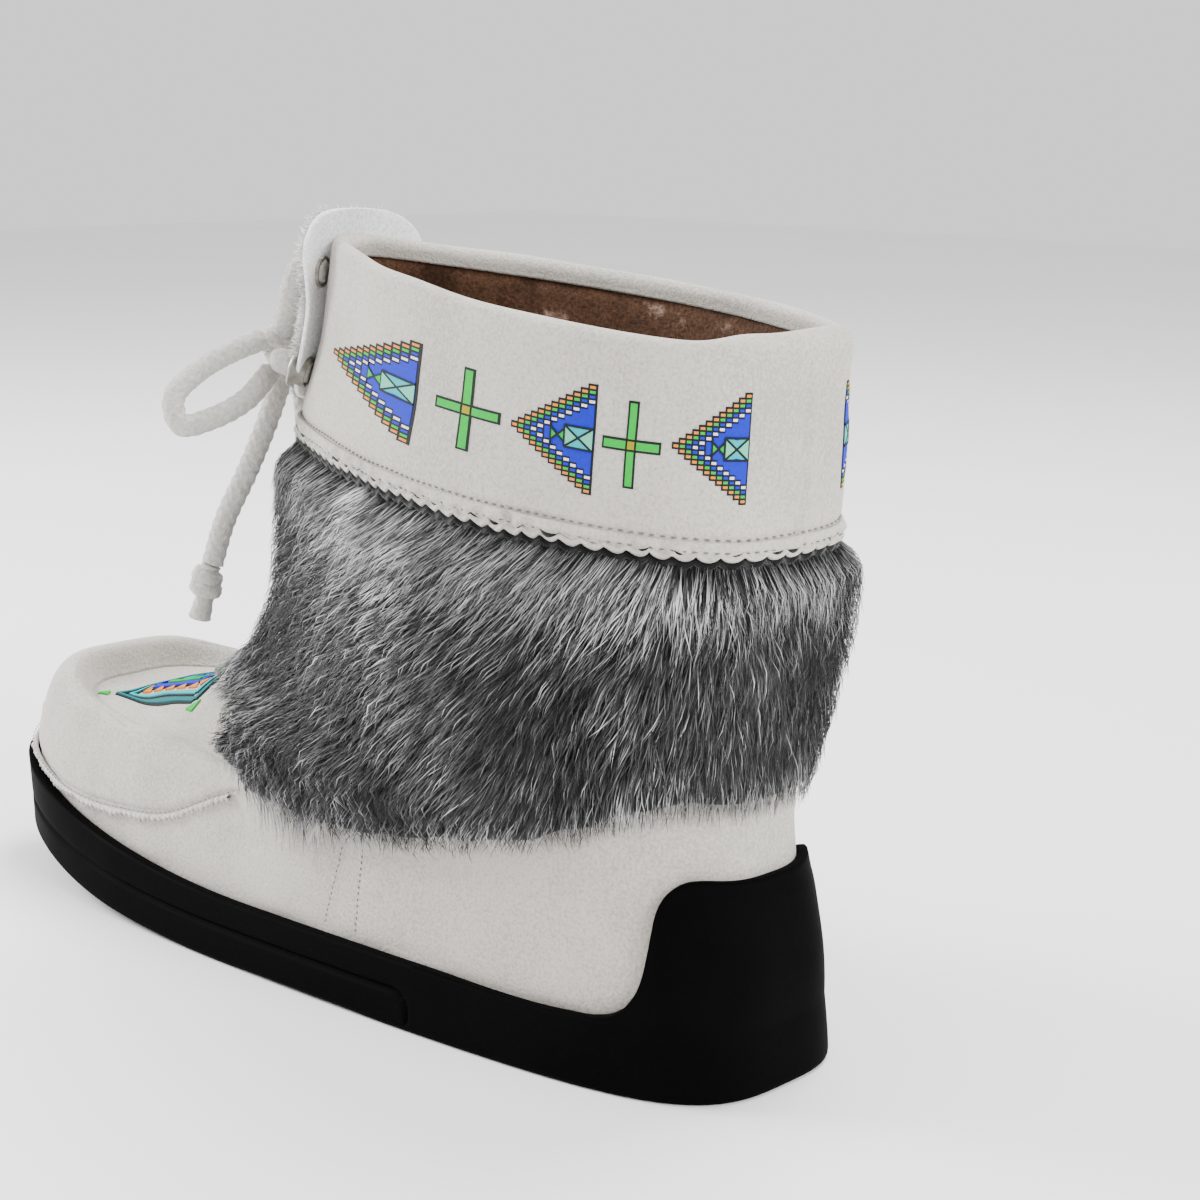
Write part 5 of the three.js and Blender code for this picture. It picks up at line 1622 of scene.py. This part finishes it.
    def ribbons(self, lines: Array, radius: Array) -> tuple[Array, Array]:
        """Three-sided tapering hairs along lines, closed at the root and pointed at the tip."""
        hairs, steps = lines.shape[:2]
        way = unit(np.gradient(lines, axis=1))
        out = unit((lines - lines.mean((0, 1))) * [1, 1, 0.2])
        side = unit(np.cross(way, out))
        lift = np.cross(side, way)
        taper = np.interp(np.arange(steps - 1) / (steps - 1), [0, 0.3, 0.7, 1], [0.75, 1.0, 0.8, 0.4])
        wide = taper[None, :, None, None] * radius[:, None, None, None]
        t = np.array([0, 2 * math.pi / 3, 4 * math.pi / 3])[None, None, :, None]
        ring = np.cos(t) * side[:, :-1, None] + 0.6 * np.sin(t) * lift[:, :-1, None]
        points = np.concatenate([(lines[:, :-1, None] + wide * ring).reshape(hairs, -1, 3), lines[:, -1:]], 1)
        quads = rings_of(steps - 1, 3, False)
        last = (steps - 2) * 3
        sides = np.vstack([quads[:, [0, 1, 2]], quads[:, [0, 2, 3]]])
        tip = np.array([[last, last + 1, last + 3], [last + 1, last + 2, last + 3], [last + 2, last, last + 3]])
        return many(points, np.vstack([sides, tip, [[0, 2, 1]]]))

    def make(self) -> None:
        """Hide and hairs, in pieces of a bearable size."""
        self.make_hide()
        rng = np.random.default_rng(self.seed)
        angle, share = self.roots(rng)
        steps = 3
        lines, root = self.strands(rng, angle, share, steps)
        tint = self.tints(rng, root, share, steps)
        radius = rng.uniform(0.09, 0.19, self.count)
        where = np.argsort((angle + 0.4) % (2 * math.pi))
        for i, chosen in enumerate(np.array_split(where, 4)):
            points, faces = self.ribbons(lines[chosen], radius[chosen])
            shades = np.concatenate([np.repeat(tint[chosen][:, :-1], 3, 1), tint[chosen][:, -1:]], 1)
            make_piece(f"fur_hairs_{i + 1}", points, faces, self.hair, "fur", tint=shades.reshape(-1, 3))


# Tongue and eyelets


@dataclass
class Tongue:
    """Pull tongue: suede patch with a smooth back and a front of short white pile."""

    shape: TongueShape
    # suede: the pale tongue suede, partly its own colour and partly painted light
    suede: bpy.types.Material
    pile: bpy.types.Material
    metal: bpy.types.Material
    fur: Fur
    hairs: int = 4000
    hole: float = 3.5
    rim: float = 1.7

    def make_patch(self) -> None:
        """The patch: rings up the cuff's front, each a thin rounded section."""
        levels = 0.5 - 0.4995 * np.cos(math.pi * np.linspace(0, 1, 50))
        ring = lerp(self.shape.low, self.shape.high, levels)[:, None]
        t = np.linspace(0, 2 * math.pi, 72, endpoint=False)[None]
        across = np.sign(np.cos(t)) * np.abs(np.cos(t)) ** 0.9
        half = self.shape.wall / 2
        depth = half + half * np.sign(np.sin(t)) * np.abs(np.sin(t)) ** 0.45
        points = self.shape.point(across * np.ones_like(ring), ring * np.ones_like(across), depth * np.ones_like(ring))
        caps = [np.repeat(points[i].mean(0)[None], 72, 0)[None] for i in (0, -1)]
        rows = np.concatenate([caps[0], points, caps[1]])
        piece = make_piece("tongue_suede", rows.reshape(-1, 3), rings_of(len(rows), 72, False), self.suede, "suede")
        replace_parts(piece, "tongue")

    def make_pile(self) -> None:
        """Short curly pile on the front and round the rim."""
        rng = np.random.default_rng(17)
        ring = rng.uniform(self.shape.low + 0.05, self.shape.high - 0.02, self.hairs)
        across = rng.uniform(-1, 1, self.hairs)
        across = np.sign(across) * np.abs(across) ** 0.8
        at = self.shape.point(across, ring, self.shape.wall * 0.9)
        out = self.shape.normal(across, ring)
        keep = np.ones(self.hairs, bool)
        for row in (0, 1):
            for side in (1, -1):
                centre, _ = self.shape.eyelet(row, side)
                keep &= np.linalg.norm(at - centre, axis=1) > self.hole + self.rim + 0.6
        at, out = at[keep], out[keep]
        t = np.linspace(0, 1, 3)[None, :, None]
        curl = rng.normal(0, 1, (len(at), 3))
        curl2 = rng.normal(0, 1, (len(at), 3))
        length = rng.uniform(1.4, 2.6, len(at))[:, None, None]
        lines = at[:, None] + length * (out[:, None] * t * 0.9 + 0.35 * curl[:, None] * t**1.5 + 0.25 * curl2[:, None] * t * (1 - t) * 2)
        points, faces = self.fur.ribbons(lines, rng.uniform(0.12, 0.22, len(at)))
        shade = rng.uniform(0.50, 0.80, len(at))[:, None, None] * np.array([1, 0.985, 0.95])
        shades = np.repeat(shade, 7, 1).reshape(-1, 3)
        make_piece("tongue_pile", points, faces, self.pile, "suede", tint=shades)

    def make_eyelets(self) -> None:
        """Eyelets: a turned barrel with a rounded flange in each hole."""
        hole, rim, wall = self.hole, self.rim, self.shape.wall
        t = np.linspace(0, math.pi, 9)
        flange = np.stack([hole + rim / 2 + rim / 2 * np.cos(t), GAP + 0.9 * np.sin(t)], -1)
        profile = np.vstack([[[hole, -wall - GAP], [hole + 0.6, -wall - GAP], [hole + 0.6, GAP]], flange, [[hole, GAP]]])
        turn = np.linspace(0, 2 * math.pi, 40, endpoint=False)
        for row, high in enumerate(("upper", "lower")):
            for side, name in ((1, "outer"), (-1, "inner")):
                centre, axis = self.shape.eyelet(row, side)
                one = unit(np.cross(axis, [0, 0, 1.0]))
                two = np.cross(axis, one)
                round_ = np.cos(turn)[None, :, None] * one + np.sin(turn)[None, :, None] * two
                points = centre + profile[:, 0, None, None] * round_ + profile[:, 1, None, None] * axis
                piece = make_piece(f"eyelet_{high}_{name}_ring", points.reshape(-1, 3), rings_of(len(profile), 40, True),
                                   self.metal, "eyelet_metal")
                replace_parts(piece, f"eyelet_{high}_{name}")

    def make(self) -> None:
        """Patch, pile and eyelets."""
        self.make_patch()
        self.make_pile()
        self.make_eyelets()


# Toe edge


@dataclass
class ToeEdge:
    """Pinked edge of the toe piece where it is laid over the side, with its stitches."""

    last: Last
    suede: bpy.types.Material
    # dark: stitches in near-black thread, painted shade of the stitch holes
    dark: Stitcher
    tooth: float = 2.2

    def line(self, count: int, lift: float) -> tuple[Array, Array]:
        """Angles and rings along the seam, from the inner fur edge round the toe to the outer one."""
        start = float(angle_of(0.585))
        a = np.linspace(start, 2 * math.pi - start, count)
        return a, curve_at(np.array(self.last.toe_seam), along(a)) + lift

    def make(self) -> None:
        """Scalloped strip that stands off the side a little, and a stitch row above it."""
        a, r = self.line(3000, 0.0)
        line = self.last.skin(a, r, 0.4)
        run = np.concatenate([[0], np.cumsum(np.linalg.norm(np.diff(line, axis=0), axis=1))])
        teeth = round(run[-1] / self.tooth)
        columns = teeth * 6 + 1
        at = np.linspace(0, run[-1], columns)
        a, r = np.interp(at, run, a), np.interp(at, run, r)
        phase = at / run[-1] * teeth
        place = self.last.point(a, r)
        phase = phase + 0.2 * waves(place, 7, 71)
        tooth = np.abs(np.sin(math.pi * phase)) ** 0.8
        ruffle = 0.5 * np.sin(2 * math.pi * phase + 0.8) + 0.4 * waves(place, 4, 72)
        tall = np.linalg.norm(self.last.point(a, r + 0.1) - self.last.point(a, r - 0.1), axis=1) / 0.2
        low = r - (0.3 + 1.9 * tooth + 0.3 * waves(place, 5, 73)) / tall
        top = r + 0.2 / tall
        rows = []
        for share in np.linspace(0, 1, 7):
            ring = lerp(top, low, share)
            bare = self.last.point(a, ring) + self.last.normal(a, ring) * (1.25 + ruffle * share + 0.4 * math.sin(math.pi * share))[:, None]
            rows.append(bare)
        for share in (1, 0.5, 0):
            ring = lerp(top, low, share)
            rows.append(self.last.point(a, ring) + self.last.normal(a, ring) * (0.35 + ruffle * share**2)[:, None])
        grid = np.stack(rows)
        points = grid.reshape(-1, 3)
        faces = []
        count = len(rows)
        wrapped = np.concatenate([grid, grid[:1]])
        quads = sheet_of(count + 1, columns)
        quads = np.where(quads >= count * columns, quads - count * columns, quads)
        faces.append(quads)
        make_piece("toe_edge", wrapped[:-1].reshape(-1, 3), faces, self.suede, "suede")
        a, r = self.line(900, 0.0)
        tall = np.linalg.norm(self.last.point(a, r + 0.1) - self.last.point(a, r - 0.1), axis=1) / 0.2
        row = self.dark.on_last(a, r + 0.75 / tall, 0.55)
        # near-black thread: painted shade in the stitch holes
        self.dark.make("toe_stitches", [row], 1.3, 2.0, 0.15)
        lines = []
        for start, slope in Upper.side_seams:
            z = np.linspace(17.5, 41, 60)
            lines.append(self.side_seam(start + slope * (40 - z), z))
        # near-black thread: painted shade in the stitch holes
        self.dark.make("side_stitches", lines, 0.9, 1.7, 0.17)

    def side_seam(self, x: Array, z: Array) -> tuple[Array, Array]:
        """Line on the outer side at given x and z, found on a fine sampling of the last."""
        a, r = np.meshgrid(np.linspace(1.2, 1.7, 260), np.linspace(0.9, 3.4, 160))
        p = self.last.point(a, r)
        flat = p[..., [0, 2]].reshape(-1, 2)
        near = ((flat[None] - np.stack([x, z], -1)[:, None]) ** 2).sum(-1).argmin(1)
        a, r = a.ravel()[near], r.ravel()[near]
        return self.last.skin(a, r, 0.12), self.last.normal(a, r)


# The whole boot


def main() -> None:
    """Builds the studio, the lace and then the boot from the sole up."""
    last = Last()
    studio = Studio()
    studio.camera()
    braid = Thread((0.55, 0.53, 0.495), 1.1, 0.6).make("lace_braid")
    shape = TongueShape(last)
    Lace(shape, braid).make()
    studio.light()
    studio.floor()
    suede = Suede().make("suede")
    thread = Thread((0.40, 0.385, 0.36)).make("stitch_thread")
    rubber = Rubber().make("sole_rubber")
    plush = Plush().make("lining_plush")
    Sole(last, rubber).make()
    upper = Upper(last, suede, plush, Felt().make("insole_felt"))
    upper.make()
    stitcher = Stitcher(last, thread)
    # near-black felt of the strip under the cuff's pinked edge: painted shadow
    black = Felt((0.006, 0.006, 0.006)).make("painted_shadow_felt")
    # near-black thread for the tone-on-tone stitches: the dark is painted shade in their holes
    dark = Stitcher(last, Thread((0.16, 0.155, 0.15)).make("painted_shade_thread"))
    cuff = Cuff(last, suede, black, stitcher, dark)
    cuff.make()
    ToeEdge(last, Suede((0.60, 0.58, 0.54), 0.8, 0.1).make("toe_frill"), dark).make()
    figures = Figures(last, cuff, upper, Inlay().make("figure_inlay"))
    figures.make_cuff()
    figures.make_medallion()
    fur = Fur(last, Felt((0.03, 0.03, 0.031)).make("fur_hide"), Hair().make("fur_hair"))
    fur.make()
    # pale suede of the tongue patch: partly its own pale colour, partly painted light, made lighter to offset the shade
    # on its back
    pale = Suede((0.80, 0.80, 0.81), 0.8, 0.06).make("tongue_lightened_hide")
    Tongue(shape, pale, Hair(0.8, 0.15).make("tongue_pile"), Metal().make("eyelet_nickel"), fur).make()


if __name__ == "__main__":
    main()
